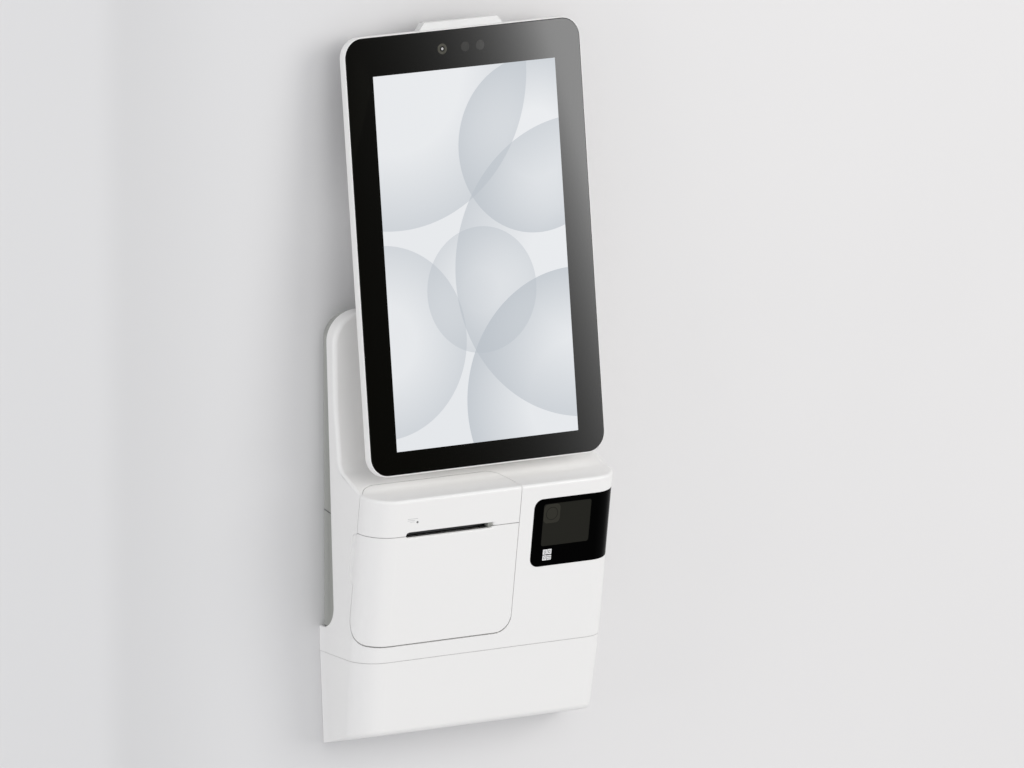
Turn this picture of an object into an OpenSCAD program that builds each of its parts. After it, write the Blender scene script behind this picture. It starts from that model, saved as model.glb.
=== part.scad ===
// Self-service kiosk for a wall: a portrait touch screen on a neck, above a body that holds
// a receipt printer and a code scanner. Millimetres, +Z up, the wall at y = 0, the front to -Y.
// The origin is the centre of the wall bolts, on the wall.

/* [Body] */
// Width of the body
body_w = 264; // [258:1:268]
// Depth of the front face from the wall, at the height of the origin
front_depth = 106.2; // [104:0.1:112]
// Lean of the front face, its foot nearer the wall
front_lean = 9.1; // [8.5:0.1:9.7]
// Radius of the upright front corners
corner_r = 26; // [22:1:28]
// Thickness of the moulded walls
wall = 2.5; // [2.2:0.1:2.8]
// Drop of the front's top edge below the origin
top_edge_drop = 18.4; // [16:0.1:20]
// Radius of the front's top edge
top_edge_r = 3; // [2.5:0.5:6]
// Depth of the ridge where the top turns up towards the wall
ridge_depth = 73.6; // [72:0.1:76]
// Drop of that ridge below the origin
ridge_drop = 14.8; // [14:0.1:15.6]
// Depth of the hollow where the top meets the upper face
hollow_depth = 37; // [36:0.1:38.5]
// Height of that hollow above the origin
hollow_rise = 2.1; // [0:0.1:4]
// Radius of that hollow
hollow_r = 10; // [6:1:14]
// Depth of the bend in the upper face
bend_depth = 28.6; // [28:0.1:30]
// Height of the bend above the origin
bend_rise = 65; // [60:1:75]
// Height of the body's top above the origin
body_top = 149; // [145:1:155]
// Depth of the upper face at the body's top
top_depth = 26.6; // [25:0.1:27.5]
// Radius of the body's two top corners, seen from the front
top_corner_r = 32; // [24:1:36]
// Radius of the edge round the upper face
face_edge_r = 5; // [4:0.5:6]
// Depth of the split between shell and rear covers, at the origin's height
split_depth = 19.3; // [18:0.1:20]
// Lean of that split
split_lean = 2.75; // [2.5:0.05:3]
// Drop of the foot where the shell reaches the wall
foot_drop = 151; // [148:1:154]
// Radius of the hollow above that foot
foot_r = 21; // [16:1:24]
// Width of the open seams between mouldings
seam = 0.5; // [0.4:0.1:0.7]

/* [Lower cover] */
// Drop of the seam above the lower cover
seam_drop = 174; // [172:0.5:176]
// Drop of the lower cover's bottom at the wall
bottom_drop = 262; // [255:1:270]
// Drop of its bottom at the front
chin_drop = 245; // [242:0.5:250]
// Draw-in of each of its sides
side_taper = 2.3; // [1.5:0.1:2.8]
// Radius of its front bottom edge
chin_r = 4; // [2:0.5:6]

/* [Rear covers] */
// Setback of the rear covers' sides from the body's sides, at the wall
rear_draw = 5.2; // [4:0.1:7]
// Setback of their sides at the split
rear_step = 0.5; // [0.2:0.1:2]
// Thickness of the rear covers' sides
rear_wall = 2.2; // [1.8:0.1:2.8]
// Thickness of the rear covers' back panel
rear_panel = 3; // [2.5:0.1:3.5]
// Drop of the seam between the two rear covers
rear_seam_drop = 42; // [38:1:46]

/* [Wall plate] */
// Width of the wall plate
plate_w = 160; // [150:1:180]
// Height of the wall plate
plate_h = 250; // [240:1:260]
// Thickness of the wall plate
plate_t = 2.5; // [2:0.1:3]
// Distance between wall bolts, across
bolt_dx = 100; // [90:1:110]
// Distance between wall bolts, upwards
bolt_dz = 200; // [190:1:205]
// Radius of the wall bolts' holes
bolt_hole_r = 3.25; // [2.5:0.05:3.5]
// Radius of the access holes in front of the wall bolts
access_r = 9; // [8:0.5:10]

/* [Door and slot] */
// Width of the door, from the body's left side
door_w = 155.7; // [154.5:0.1:156.5]
// Drop of the door's top edge, along the front face
door_top = 54; // [53:0.1:55]
// Drop of the door's bottom edge, along the front face
door_bottom = 161.5; // [160:0.5:163]
// Rise of the seam above the door, from the front to the wall
door_seam_lean = 3.5; // [3:0.1:4]
// Depth of the door and cap round the left corner
wing_depth = 29.5; // [29.1:0.1:32]
// Radius of the door's bottom right corner
door_corner_r = 16.5; // [10:0.5:20]
// Radius of the door's bottom left corner, on the side
wing_corner_r = 22; // [16:1:25]
// Open gap under the door
door_gap = 1.8; // [1.7:0.1:2.2]
// Setback of the hinge behind the front face
hinge_back = 12; // [11.5:0.1:13]
// Drop of the hinge below the origin
hinge_drop = 168; // [167.5:0.5:169]
// Radius of the hinge pins
hinge_pin_r = 2; // [1.5:0.1:2.5]
// Distance of the paper slot's middle from the body's left side
slot_from_side = 81.3; // [80.5:0.1:82]
// Length of the paper slot
slot_w = 92.6; // [88:0.1:94]
// Height of the paper slot
slot_h = 4.1; // [3.5:0.1:4.8]
// Drop of the slot's middle, along the front face
slot_drop = 52.9; // [52:0.1:53.5]
// Radius of the cap's rear right corner
cap_corner_r = 24; // [16:1:26]

/* [Scanner] */
// Distance from the door's right edge to the scanner window
scan_gap = 14.8; // [13.5:0.1:17]
// Drop of its top edge, along the front face
scan_top = 34; // [33:0.1:36]
// Drop of its bottom edge, along the front face
scan_bottom = 100.5; // [98:0.1:102]
// Radius of its left corners
scan_r = 9; // [6:0.5:11]
// Thickness of the window
scan_t = 1.6; // [1.2:0.1:1.7]

/* [Tablet] */
// Width of the lit screen
screen_w = 193.6; // [190:0.1:196]
// Height of the lit screen
screen_h = 344.2; // [340:0.1:348]
// Depth of the screen's middle from the wall
screen_depth = 60; // [59.5:0.1:62]
// Height of the tablet's bottom edge above the origin
tablet_rise = 0.5; // [0:0.05:4]
// Backward tilt of the screen
tilt = 7; // [6.5:0.1:7.5]
// Width of the black border beside the screen
border_side = 27.65; // [26:0.05:30]
// Width of the black border above the screen
border_top = 35.75; // [34:0.05:38]
// Width of the black border under the screen
border_bottom = 20.85; // [19:0.05:24]
// Thickness of the cover glass
glass_t = 2; // [1.6:0.1:2.4]
// Corner radius of the cover glass
glass_r = 18; // [14:1:22]
// Width of the housing's rim round the glass
rim = 1.2; // [0.8:0.1:1.6]
// Depth of the housing's straight sides
rim_depth = 10.6; // [10.2:0.1:11.5]
// Depth of the housing's raised back
back_depth = 28; // [26:0.5:29]
// Width of the raised back
back_w = 190; // [180:1:200]
// Height of the raised back
back_h = 300; // [292:1:310]
// Height of the raised back's foot above the screen's bottom edge
back_foot = -9.9; // [-12:0.1:-8]
// Draw-in of the raised back's sloping sides
back_slope = 14; // [10:1:16]
// Thickness of the housing's walls
housing_wall = 2.2; // [2:0.1:2.4]

/* [Printer] */
// Inner width of the printer's frame
frame_w = 90; // [88:0.5:92]
// Thickness of its side plates
frame_t = 2; // [1.6:0.1:2.4]
// Radius of the platen's rubber
platen_r = 7; // [6:0.1:7.4]
// Radius of the platen's shaft
shaft_r = 2.5; // [2:0.1:3]
// Depth of the platen's axis from the wall
platen_depth = 78; // [77.5:0.1:78.5]
// Drop of the platen's axis below the origin
platen_drop = 62; // [61.7:0.1:62.3]
// Tooth module of the feed gears
gear_m = 0.8; // [0.75:0.05:0.85]
// Teeth of the platen gear
platen_teeth = 24; // [22:1:26]
// Teeth of the idler gear
idler_teeth = 30; // [28:1:32]
// Teeth of the motor pinion
pinion_teeth = 12; // [12:1:14]
// Inner radius of the paper bucket
bucket_r = 30; // [28:0.5:31]
// Radius of the feed button
feed_button_r = 4; // [3:0.1:4.6]

/* [Hidden] */
$fn = 64;

white = [0.9, 0.9, 0.89];
pale_grey = [0.74, 0.75, 0.76];
glass_black = [0.03, 0.03, 0.035];
steel = [0.68, 0.69, 0.7];
dark = [0.16, 0.16, 0.17];
board_green = [0.1, 0.32, 0.2];
rubber = [0.09, 0.09, 0.09];
brass = [0.78, 0.65, 0.35];

// Clearances: between fixed mouldings, round a sliding piece, and round a turning shaft
fit = 0.2;
slide = 0.3;
running = 0.05;
// Reach of a cut past the face that it opens
over = 5;
// Sides of the arcs in the profile's corners
arc_steps = 8;
half_w = body_w / 2;
rear_half = half_w - rear_draw;
rear_half_front = half_w - rear_step;
door_right = door_w - half_w;
slot_left = half_w - slot_from_side;
scan_left = door_right + scan_gap;
glass_w = screen_w + 2 * border_side;
glass_h = screen_h + border_top + border_bottom;
glass_rise = (border_top - border_bottom) / 2;
screen_rise = tablet_rise + (screen_h / 2 + border_bottom + rim) * cos(tilt);
back_drop = screen_h / 2 - back_foot - back_h / 2;
// Reach of the front corner's outline behind and along the front face
plan_reach = 160;
plan_up = 200;
plan_down = 290;

// Depth of the front face and of the split at a height
function front_y(z) = -(front_depth + z * tan(front_lean));
function split_y(z) = -(split_depth - z * tan(split_lean));

// An outline whose corners are drawn in or out, each edge by its own distance
function way(p, q) = (q - p) / norm(q - p);
function left_of(d) = [-d[1], d[0]];
function meet(p, u, q, v) = p + u * cross(q - p, v) / cross(u, v);
function inset_path(points, insets) = let (n = len(points)) [
    for (i = [0 : n - 1])
        let (h = (i + n - 1) % n, b = points[i])
        let (u = way(points[h], b), v = way(b, points[(i + 1) % n]))
        meet(b + left_of(u) * insets[h], u, b + left_of(v) * insets[i], v)];

// An outline with round corners
function corner_arc(a, b, c, r) =
    let (u = way(b, a), v = way(b, c), half = acos(u * v) / 2)
    let (centre = b + (u + v) / norm(u + v) * r / sin(half), side = sign(cross(v, u)))
    let (start = b + u * r / tan(half) - centre, from = atan2(start[1], start[0]))
    [for (k = [0 : arc_steps])
        let (angle = from + side * (180 - 2 * half) * k / arc_steps)
        centre + r * [cos(angle), sin(angle)]];
function round_path(points, radii) = let (n = len(points)) [
    for (i = [0 : n - 1])
        each radii[i] > 0
            ? corner_arc(points[(i + n - 1) % n], points[i], points[(i + 1) % n], radii[i])
            : [points[i]]];

// Side outline of the body, from the foot at the wall up the back, over the top and down the front
body_points = [
    [0, -seam_drop],
    [0, -foot_drop],
    [split_y(-foot_drop), -foot_drop],
    [split_y(body_top), body_top],
    [-top_depth, body_top],
    [-bend_depth, bend_rise],
    [-hollow_depth, hollow_rise],
    [-ridge_depth, -ridge_drop],
    [front_y(-top_edge_drop), -top_edge_drop],
    [front_y(-seam_drop), -seam_drop]];
ridge_r = 30;
function body_radii(t) =
    [0, 0, foot_r, 0, face_edge_r - t, 0, hollow_r + t, ridge_r - t, max(0, top_edge_r - t), 0];
// Walls of thickness t on the top and front, with the back and the bottom open
function body_insets(t, open = over) = [-open, -open, -open, t, t, t, t, t, t, -open];
body_path = round_path(body_points, body_radii(0));
function body_inner_path(t, open = over) =
    round_path(inset_path(body_points, body_insets(t, open)), body_radii(t));

module along_x(length) {
    rotate([90, 0, 90])
        translate([0, 0, -length / 2])
            linear_extrude(length)
                children();
}

// A flat shape in X and Z, thickened from depth y0 to depth y1
module slab(y0, y1) {
    translate([0, y1, 0])
        rotate([90, 0, 0])
            linear_extrude(y1 - y0)
                children();
}

module rounded_rect(w, h, r) {
    square([w - 2 * r, h], center = true);
    square([w, h - 2 * r], center = true);
    for (sx = [-1, 1], sz = [-1, 1])
        translate([sx * (w / 2 - r), sz * (h / 2 - r)])
            circle(r);
}

// A slot outline with round ends
module pill(w, h) {
    square([w - h, h], center = true);
    for (s = [-1, 1])
        translate([s * (w - h) / 2, 0])
            circle(h / 2);
}

module block(x0, x1, y0, y1, z0, z1) {
    translate([x0, y0, z0])
        cube([x1 - x0, y1 - y0, z1 - z0]);
}

// A round bar along Y
module post(x, z, y0, y1, r) {
    translate([x, y1, z])
        rotate([90, 0, 0])
            cylinder(h = y1 - y0, r = r);
}

// A round bar along X
module axle(x0, x1, y, z, r) {
    translate([x0, y, z])
        rotate([0, 90, 0])
            cylinder(h = x1 - x0, r = r);
}

// Frame of the front face: y = 0 on the face, z up along it
module front_place() {
    translate([0, -front_depth, 0])
        rotate([front_lean, 0, 0])
            children();
}

// Frame of the tablet: y = 0 on the glass, the origin at the screen's middle
module tablet_place() {
    translate([0, -screen_depth, screen_rise])
        rotate([-tilt, 0, 0])
            children();
}

// Plan of the body with its round front corners, drawn in by t
module plan_outline(t) {
    core = half_w - corner_r;
    translate([t - half_w, corner_r])
        square([2 * (half_w - t), plan_reach]);
    translate([-core, t])
        square([2 * core, plan_reach]);
    for (s = [-1, 1])
        translate([s * core, corner_r])
            circle(corner_r - t);
}

// That plan drawn out along the front face, in the front face's own frame
module plan_column(t) {
    translate([0, 0, -plan_down])
        linear_extrude(plan_down + plan_up)
            plan_outline(t);
}

module plan_prism(t) {
    front_place()
        plan_column(t);
}

// Front view of the body with its round top corners, drawn in by t
module top_outline(t) {
    core = half_w - top_corner_r;
    straight = body_top - top_corner_r;
    translate([t - half_w, -plan_down])
        square([2 * (half_w - t), plan_down + straight]);
    translate([-core, -plan_down])
        square([2 * core, plan_down + body_top - t]);
    for (s = [-1, 1])
        translate([s * core, straight])
            circle(top_corner_r - t);
}

// The body's outer form drawn in by t, with the given side outline
module body_form(t, path) {
    intersection() {
        plan_prism(t);
        along_x(body_w + over)
            polygon(path);
        slab(-plan_reach, over)
            top_outline(t);
    }
}

// The skin of the body, as thick as the walls
module body_skin(t) {
    difference() {
        body_form(0, body_path);
        body_form(t, body_inner_path(t));
    }
}

// Everything under, or over, the seam between door and cap
module seam_side(z0, z1) {
    z = -door_top * cos(front_lean);
    translate([0, front_y(z), z])
        rotate([door_seam_lean, 0, 0])
            block(-body_w, body_w, -over, plan_reach, z0, z1);
}

// Space of the door: inset by gap at its sides and top, and by foot at its bottom
module door_space(gap, foot) {
    intersection() {
        door_block(gap, foot);
        seam_side(-plan_down, -gap / 2);
    }
}

module door_block(gap, foot) {
    width = half_w + over + door_right - gap;
    height = door_bottom - foot - door_top + over;
    middle = -(door_bottom - foot) + height / 2;
    depth = wing_depth - gap;
    front_place()
        intersection() {
            translate([door_right - gap - width / 2, 0, middle])
                slab(-over, depth)
                    union() {
                        translate([-width / 2, -height / 2])
                            square([width - door_corner_r, height]);
                        translate([-width / 2, door_corner_r - height / 2])
                            square([width, height - door_corner_r]);
                        translate([width / 2 - door_corner_r, door_corner_r - height / 2])
                            circle(door_corner_r);
                    }
            along_x(2 * body_w)
                translate([-over, middle - height / 2])
                    union() {
                        square([depth + over - wing_corner_r, height]);
                        translate([0, wing_corner_r])
                            square([depth + over, height - wing_corner_r]);
                        translate([depth + over - wing_corner_r, wing_corner_r])
                            circle(wing_corner_r);
                    }
        }
}

// Space of the cap above the door, inset by gap
module cap_space(gap) {
    intersection() {
        cap_block(gap);
        seam_side(gap / 2, plan_up);
    }
}

module cap_block(gap) {
    right = door_right - gap;
    depth = wing_depth - gap;
    r = cap_corner_r - gap;
    front_place()
        translate([0, 0, -door_top - over])
            linear_extrude(plan_up)
                union() {
                    translate([-half_w - over, -over])
                        square([half_w + over + right, depth + over - r]);
                    translate([-half_w - over, -over])
                        square([half_w + over + right - r, depth + over]);
                    translate([right - r, depth - r])
                        circle(r);
                }
}

// The paper slot through cap and door
module paper_slot() {
    front_place()
        translate([-slot_left, 0, -slot_drop])
            slab(-over, wing_depth / 2)
                pill(slot_w, slot_h);
}

// Space of the scanner window, drawn in by t on its edges
module scan_space(t) {
    left = scan_left + t;
    height = scan_bottom - scan_top - 2 * t;
    width = half_w + over - left;
    front_place()
        translate([left, 0, -scan_bottom + t])
            slab(-over, wing_depth - t)
                union() {
                    translate([scan_r, 0])
                        square([width - scan_r, height]);
                    translate([0, scan_r])
                        square([width, height - 2 * scan_r]);
                    for (z = [scan_r, height - scan_r])
                        translate([scan_r, z])
                            circle(scan_r);
                }
}

// Hinge of the door
hinge_y = front_y(-hinge_drop) + hinge_back;
hinge_hub_r = 5;
arm_w = 6;
arm_inset = 22;
arm_right_inset = 11.7;
arm_xs = [arm_inset - half_w, door_right - arm_right_inset];
ear_t = 3;
// Radius that clears the strip under the door as the arms swing
swing_r = 17;
arm_front = 4.5;
arm_back = 11;
arm_top = 26;
arm_leg = 16;

module hinge_place(x) {
    translate([x, hinge_y, -hinge_drop])
        children();
}

// An arm: a hub, a stem behind it and a leg forward to the door
module hinge_arm() {
    along_x(arm_w)
        difference() {
            union() {
                circle(hinge_hub_r);
                translate([0, -hinge_hub_r])
                    square([arm_back, 2 * hinge_hub_r]);
                translate([arm_front, -hinge_hub_r])
                    square([arm_back - arm_front, arm_top + hinge_hub_r]);
                difference() {
                    translate([-hinge_back - over, arm_leg])
                        square([hinge_back + over + arm_back, arm_top - arm_leg]);
                    circle(swing_r);
                }
            }
            circle(hinge_pin_r + running);
        }
}

// An ear on the shell's bottom strip that holds a pin
ear_front = hinge_back;
module hinge_ear() {
    along_x(ear_t)
        difference() {
            union() {
                circle(hinge_hub_r);
                translate([-ear_front, -hinge_hub_r])
                    square([ear_front, 2 * hinge_hub_r]);
            }
            circle(hinge_pin_r);
        }
}
// Middle of the ear beside each arm, towards the middle of the door
function ear_x(i) = arm_xs[i] + (i == 0 ? 1 : -1) * (arm_w / 2 + slide + ear_t / 2);

// Arm of the shell that carries the door's magnet
magnet_w = 8;
magnet_inset = 4.7;
magnet_x1 = door_right - magnet_inset;
magnet_x0 = magnet_x1 - magnet_w;
magnet_z0 = -73;
magnet_z1 = -65;
magnet_t = 1.2;
strike_t = 1;
magnet_post_gap = 2.5;
magnet_post_w = 5.8;
magnet_post_x0 = door_right + magnet_post_gap;
magnet_arm_x1 = magnet_post_x0 + magnet_post_w;
magnet_arm_t = 3;
magnet_y0 = wall + strike_t + slide;
magnet_y1 = magnet_y0 + magnet_t;

// Posts of the control board
side_room = 15;
board_gap = 11.3;
board_x0 = door_right + board_gap;
board_x1 = half_w - side_room;
board_z0 = -162;
board_z1 = -114;
board_t = 1.6;
board_edge = 6;
board_post_r = 3;
board_back = 22;

// The finger scoop behind the door's left edge
scoop_h = 42;
scoop_reach = 8;
scoop_depth = 1.4;
scoop_drop = 82;

// Ledge under the cap's rear edge
ledge_w = 8;
ledge_t = 2;
ledge_inset = 37;
ledge_right_inset = 28.7;
ledge_x0 = ledge_inset - half_w;
ledge_x1 = door_right - ledge_right_inset;
ledge_place = [front_y(-ridge_drop) + wing_depth, -ridge_drop];

module body_shell() {
    color(white)
        difference() {
            union() {
                body_skin(wall);
                shell_ribs();
            }
            front_space();
            recess();
            body_scoop();
            bracket_holes(bracket_hole_r);
        }
    color(white)
        cap_ledge();
}

// Spaces of the door and the cap, joined across the seam between them
module front_space() {
    door_space(0, 0);
    cap_space(0);
    intersection() {
        door_block(0, 0);
        cap_block(0);
    }
}

// Ribs that lie behind the skin and end in it
module shell_ribs() {
    intersection() {
        body_form(wall / 2, body_path);
        union() {
            for (i = [0, 1])
                hinge_place(ear_x(i))
                    hinge_ear();
            ledge_band(wall / 2);
            front_place() {
                for (x = [board_x0 + board_edge, board_x1 - board_edge])
                    for (z = [board_z0 + board_edge, board_z1 - board_edge])
                        post(x, z, 0, board_back, board_post_r);
                block(magnet_post_x0, magnet_arm_x1, 0, magnet_y1 + magnet_arm_t, magnet_z0, magnet_z1);
            }
        }
    }
}

// Parts of the shell that reach into the door's space, clear of the door
module cap_ledge() {
    ledge_band(wall);
    front_place()
        block(magnet_x0, magnet_arm_x1, magnet_y1, magnet_y1 + magnet_arm_t, magnet_z0, magnet_z1);
}

// The ledge from depth t under the outer skin
module ledge_band(t) {
    intersection() {
        along_x(2 * body_w)
            difference() {
                polygon(body_inner_path(t));
                polygon(body_inner_path(wall + ledge_t));
            }
        block(ledge_x0, ledge_x1, ledge_place[0] - ledge_w / 2, ledge_place[0] + ledge_w / 2,
              ledge_place[1] - 2 * ledge_w, ledge_place[1] + ledge_w);
    }
}

// The step that seats the scanner window, and the opening behind it
scan_ledge = 3;
module recess() {
    difference() {
        intersection() {
            body_form(-over, inset_path(body_points, body_insets(-over)));
            scan_space(0);
        }
        difference() {
            body_form(scan_t, body_inner_path(scan_t));
            scan_space(scan_ledge);
        }
    }
}

module body_scoop() {
    front_place()
        translate([-half_w + scoop_depth, wing_depth, -scoop_drop])
            rotate([0, -90, 0])
                linear_extrude(over)
                    pill(scoop_h, 2 * scoop_reach);
}

module front_cap() {
    color(white)
        difference() {
            intersection() {
                body_skin(wall);
                cap_space(seam);
            }
            paper_slot();
            front_place()
                post(indicator_x, indicator_z, -over, 2 * over, indicator_r + running);
        }
}

// Thickness of the door's lip along its bottom edge, and the height of the step behind it
door_lip = 0.8;
door_step = 2.5;
module printer_door() {
    color(white)
        difference() {
            union() {
                intersection() {
                    body_skin(wall);
                    door_space(seam, door_gap);
                }
                intersection() {
                    for (x = arm_xs)
                        hinge_place(x)
                            hinge_arm();
                    body_form(wall / 2, inset_path(body_points, body_insets(wall / 2)));
                }
            }
            intersection() {
                body_form(door_lip, body_path);
                front_place()
                    block(-half_w, half_w, -over, wing_depth,
                          -door_bottom, -door_bottom + door_gap + door_step);
                door_side();
            }
            paper_slot();
        }
}

// The thickness of the front wall, where the step is cut and the arms are not
module door_side() {
    difference() {
        body_form(0, body_path);
        body_form(wall + fit, body_inner_path(wall + fit));
    }
}

module hinge_pins() {
    color(steel)
        for (i = [0, 1])
            axle(min(ear_x(i) - ear_t / 2, arm_xs[i] - arm_w / 2),
                 max(ear_x(i) + ear_t / 2, arm_xs[i] + arm_w / 2),
                 hinge_y, -hinge_drop, hinge_pin_r);
}

module strike_plate() {
    color(steel)
        front_place()
            block(magnet_x0, magnet_x1, wall, wall + strike_t, magnet_z0, magnet_z1);
}

module door_magnet() {
    color(dark)
        front_place()
            block(magnet_x0, magnet_x1, magnet_y0, magnet_y1, magnet_z0, magnet_z1);
}

// Indicator light beside the slot
indicator_inset = 45.7;
indicator_x = indicator_inset - half_w;
indicator_z = -41.1;
indicator_r = 1;
indicator_len = 5;
module indicator_light() {
    color("white")
        front_place()
            post(indicator_x, indicator_z, 0, indicator_len, indicator_r);
}

// Scanner
module scanner_window() {
    color(glass_black)
        intersection() {
            body_skin(scan_t);
            scan_space(fit);
        }
}

scan_plate_edge = 5.5;
scan_view_edge = 10.5;
scan_view_room = 32;
scan_foot_room = 29;
scan_plate_x0 = scan_left - scan_plate_edge;
scan_plate_x1 = half_w - side_room;
scan_plate_z0 = -107;
scan_plate_z1 = -28;
scan_plate_y0 = 6;
scan_plate_y1 = 8;
scan_view_x0 = scan_left + scan_view_edge;
scan_view_x1 = half_w - scan_view_room;
scan_view_z0 = -80.7;
scan_view_z1 = -39.5;
scan_foot_x1 = half_w - scan_foot_room;
scan_foot_edge = 3;
module scanner_frame() {
    color(dark)
        front_place() {
            difference() {
                block(scan_plate_x0, scan_plate_x1, scan_plate_y0, scan_plate_y1,
                      scan_plate_z0, scan_plate_z1);
                block(scan_view_x0, scan_view_x1, 0, scan_plate_y1 + over, scan_view_z0, scan_view_z1);
            }
            for (x = [scan_plate_x0 + scan_foot_edge, scan_foot_x1])
                for (z = [scan_plate_z0 + scan_foot_edge, scan_plate_z1 - scan_foot_edge])
                    post(x, z, wall, scan_plate_y0, scan_foot_edge);
        }
}

lens_inset = 9.4;
lens_x = scan_view_x0 + lens_inset;
lens_z = -49.3;
lens_r = 5;
lens_y0 = 4;
engine_half = 13.5;
engine_depth = 16;
module scan_engine() {
    color(dark)
        front_place() {
            block(lens_x - engine_half, lens_x + engine_half, scan_plate_y1, scan_plate_y1 + engine_depth,
                  lens_z - engine_half, lens_z + engine_half);
            post(lens_x, lens_z, lens_y0, scan_plate_y1, lens_r);
        }
}

module control_board() {
    color(board_green)
        front_place()
            block(board_x0, board_x1, board_back, board_back + board_t, board_z0, board_z1);
}

// Rear covers
rear_points = [
    [0, seam - foot_drop],
    [0, body_top],
    [split_y(body_top) + fit, body_top],
    [split_y(-foot_drop) + fit, seam - foot_drop]];
rear_radii = [0, 0, 0, foot_r - seam];
// Side, top and bottom walls of thickness t, with the front open
function rear_inner_path(t, back) =
    round_path(inset_path(rear_points, [back, t, -over, t]), rear_radii);

module rear_form(t, path) {
    intersection() {
        along_x(body_w)
            polygon(path);
        translate([0, 0, -plan_down])
            linear_extrude(plan_down + plan_up)
                polygon([
                    [-rear_half + t, over],
                    [-rear_half + t, 0],
                    [-rear_half_front + t, -split_depth],
                    [-rear_half_front + t, -2 * split_depth],
                    [rear_half_front - t, -2 * split_depth],
                    [rear_half_front - t, -split_depth],
                    [rear_half - t, 0],
                    [rear_half - t, over]]);
        hull() {
            slab(-2 * split_depth, -split_depth)
                top_outline(t + half_w - rear_half_front);
            slab(0, over)
                top_outline(t + half_w - rear_half);
        }
    }
}

// Screws that hold wall plate, rear covers and chassis plate together
screw_x = 60;
screw_zs = [-90, 60];
screw_r = 2.45;
screw_head_r = 4.5;
screw_head_h = 3;
chassis_t = 2;
panel_y = -(plate_t + rear_panel);
chassis_y = panel_y - chassis_t;

module screw_holes(y0, y1) {
    for (sx = [-1, 1])
        for (z = screw_zs)
            post(sx * screw_x, z, y0, y1, screw_r + running);
}

module bolt_holes(y0, y1, r) {
    for (sx = [-1, 1], sz = [-1, 1])
        post(sx * bolt_dx / 2, sz * bolt_dz / 2, y0, y1, r);
}

module rear_tray() {
    difference() {
        rear_form(0, round_path(rear_points, rear_radii));
        rear_form(rear_wall, rear_inner_path(rear_wall, -panel_y));
        slab(-plate_t, over)
            square([plate_w + 2 * seam, plate_h + 2 * seam], center = true);
        screw_holes(-plan_reach, over);
        bolt_holes(-plan_reach, over, access_r);
    }
}

module rear_cover_upper() {
    color(pale_grey)
        intersection() {
            rear_tray();
            block(-body_w, body_w, -plan_reach, over, -rear_seam_drop + seam / 2, plan_up);
        }
}

module rear_cover_lower() {
    color(pale_grey)
        intersection() {
            rear_tray();
            block(-body_w, body_w, -plan_reach, over, -plan_up, -rear_seam_drop - seam / 2);
        }
}

plate_corner_r = 8;
module wall_plate() {
    color(steel)
        difference() {
            slab(-plate_t, 0)
                rounded_rect(plate_w, plate_h, plate_corner_r);
            bolt_holes(-over, over, bolt_hole_r);
            screw_holes(-over, over);
        }
}

chassis_room = 22;
chassis_half = half_w - chassis_room;
chassis_z0 = -140;
chassis_z1 = 125;
bracket_screw_x = 32;
bracket_screw_zs = [48, 108];
chassis_post_r = 6;
bracket_screw_r = 2.45;
bracket_hole_r = 2.6;
thread_depth = 8;
module bracket_holes(r) {
    for (sx = [-1, 1])
        for (z = bracket_screw_zs)
            post(sx * bracket_screw_x, z, -plan_reach, upper_face_y(z) + wall + thread_depth, r);
}
// Depth of the upper face at a height
function upper_face_y(z) = z > bend_rise
    ? -top_depth - (bend_depth - top_depth) * (body_top - z) / (body_top - bend_rise)
    : -bend_depth - (hollow_depth - bend_depth) * (bend_rise - z) / (bend_rise - hollow_rise);

module chassis_plate() {
    color(steel)
        difference() {
            union() {
                block(-chassis_half, chassis_half, chassis_y, panel_y, chassis_z0, chassis_z1);
                intersection() {
                    for (sx = [-1, 1])
                        for (z = bracket_screw_zs)
                            post(sx * bracket_screw_x, z, -plan_reach, panel_y, chassis_post_r);
                    along_x(body_w)
                        polygon(body_inner_path(wall, split_depth));
                }
            }
            bracket_holes(bracket_screw_r);
            screw_holes(-plan_reach, over);
            bolt_holes(-plan_reach, over, access_r);
        }
}

module plate_screws() {
    color(steel)
        for (sx = [-1, 1])
            for (z = screw_zs) {
                post(sx * screw_x, z, chassis_y - screw_head_h, chassis_y, screw_head_r);
                post(sx * screw_x, z, chassis_y, -running, screw_r);
            }
}

// Lower cover
lower_points = [
    [0, -bottom_drop],
    [0, -seam_drop - seam],
    [front_y(-seam_drop - seam), -seam_drop - seam],
    [front_y(-chin_drop), -chin_drop]];
function lower_radii(t) = [0, 0, 0, chin_r];
function lower_inner_path(t) =
    round_path(inset_path(lower_points, [-over, -over, t, t]), lower_radii(t));

module lower_form(t, path) {
    intersection() {
        for_side(1)
            plan_column(t);
        for_side(-1)
            plan_column(t);
        along_x(body_w + over)
            polygon(path);
    }
}

// Turns a form in the front face about the top of one side, so that the side draws in downwards
seam_along = seam_drop / cos(front_lean);
module for_side(s) {
    front_place()
        translate([s * half_w, 0, -seam_along])
            rotate([0, s * side_taper, 0])
                translate([-s * half_w, 0, seam_along])
                    children();
}

floor_lean = atan((bottom_drop - chin_drop) / -front_y(-chin_drop));
function floor_z(y) = -bottom_drop - y * tan(floor_lean);
tongue_y0 = -48;
tongue_y1 = -22;
tongue_up = 10;
tongue_down = 18;
tongue_t = 2.2;
cradle_x = 40;
cradle_t = 3;
cradle_drop = 238;
cradle_y0 = -56;
cradle_y1 = -8;
grommet_inset = 37;
grommet_x = half_w - grommet_inset;
grommet_y = -28;
grommet_r = 6;
grommet_flange_r = 8.5;
grommet_flange_t = 1.5;

module grommet_place() {
    translate([grommet_x, grommet_y, floor_z(grommet_y)])
        rotate([-floor_lean, 0, 0])
            children();
}

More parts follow.
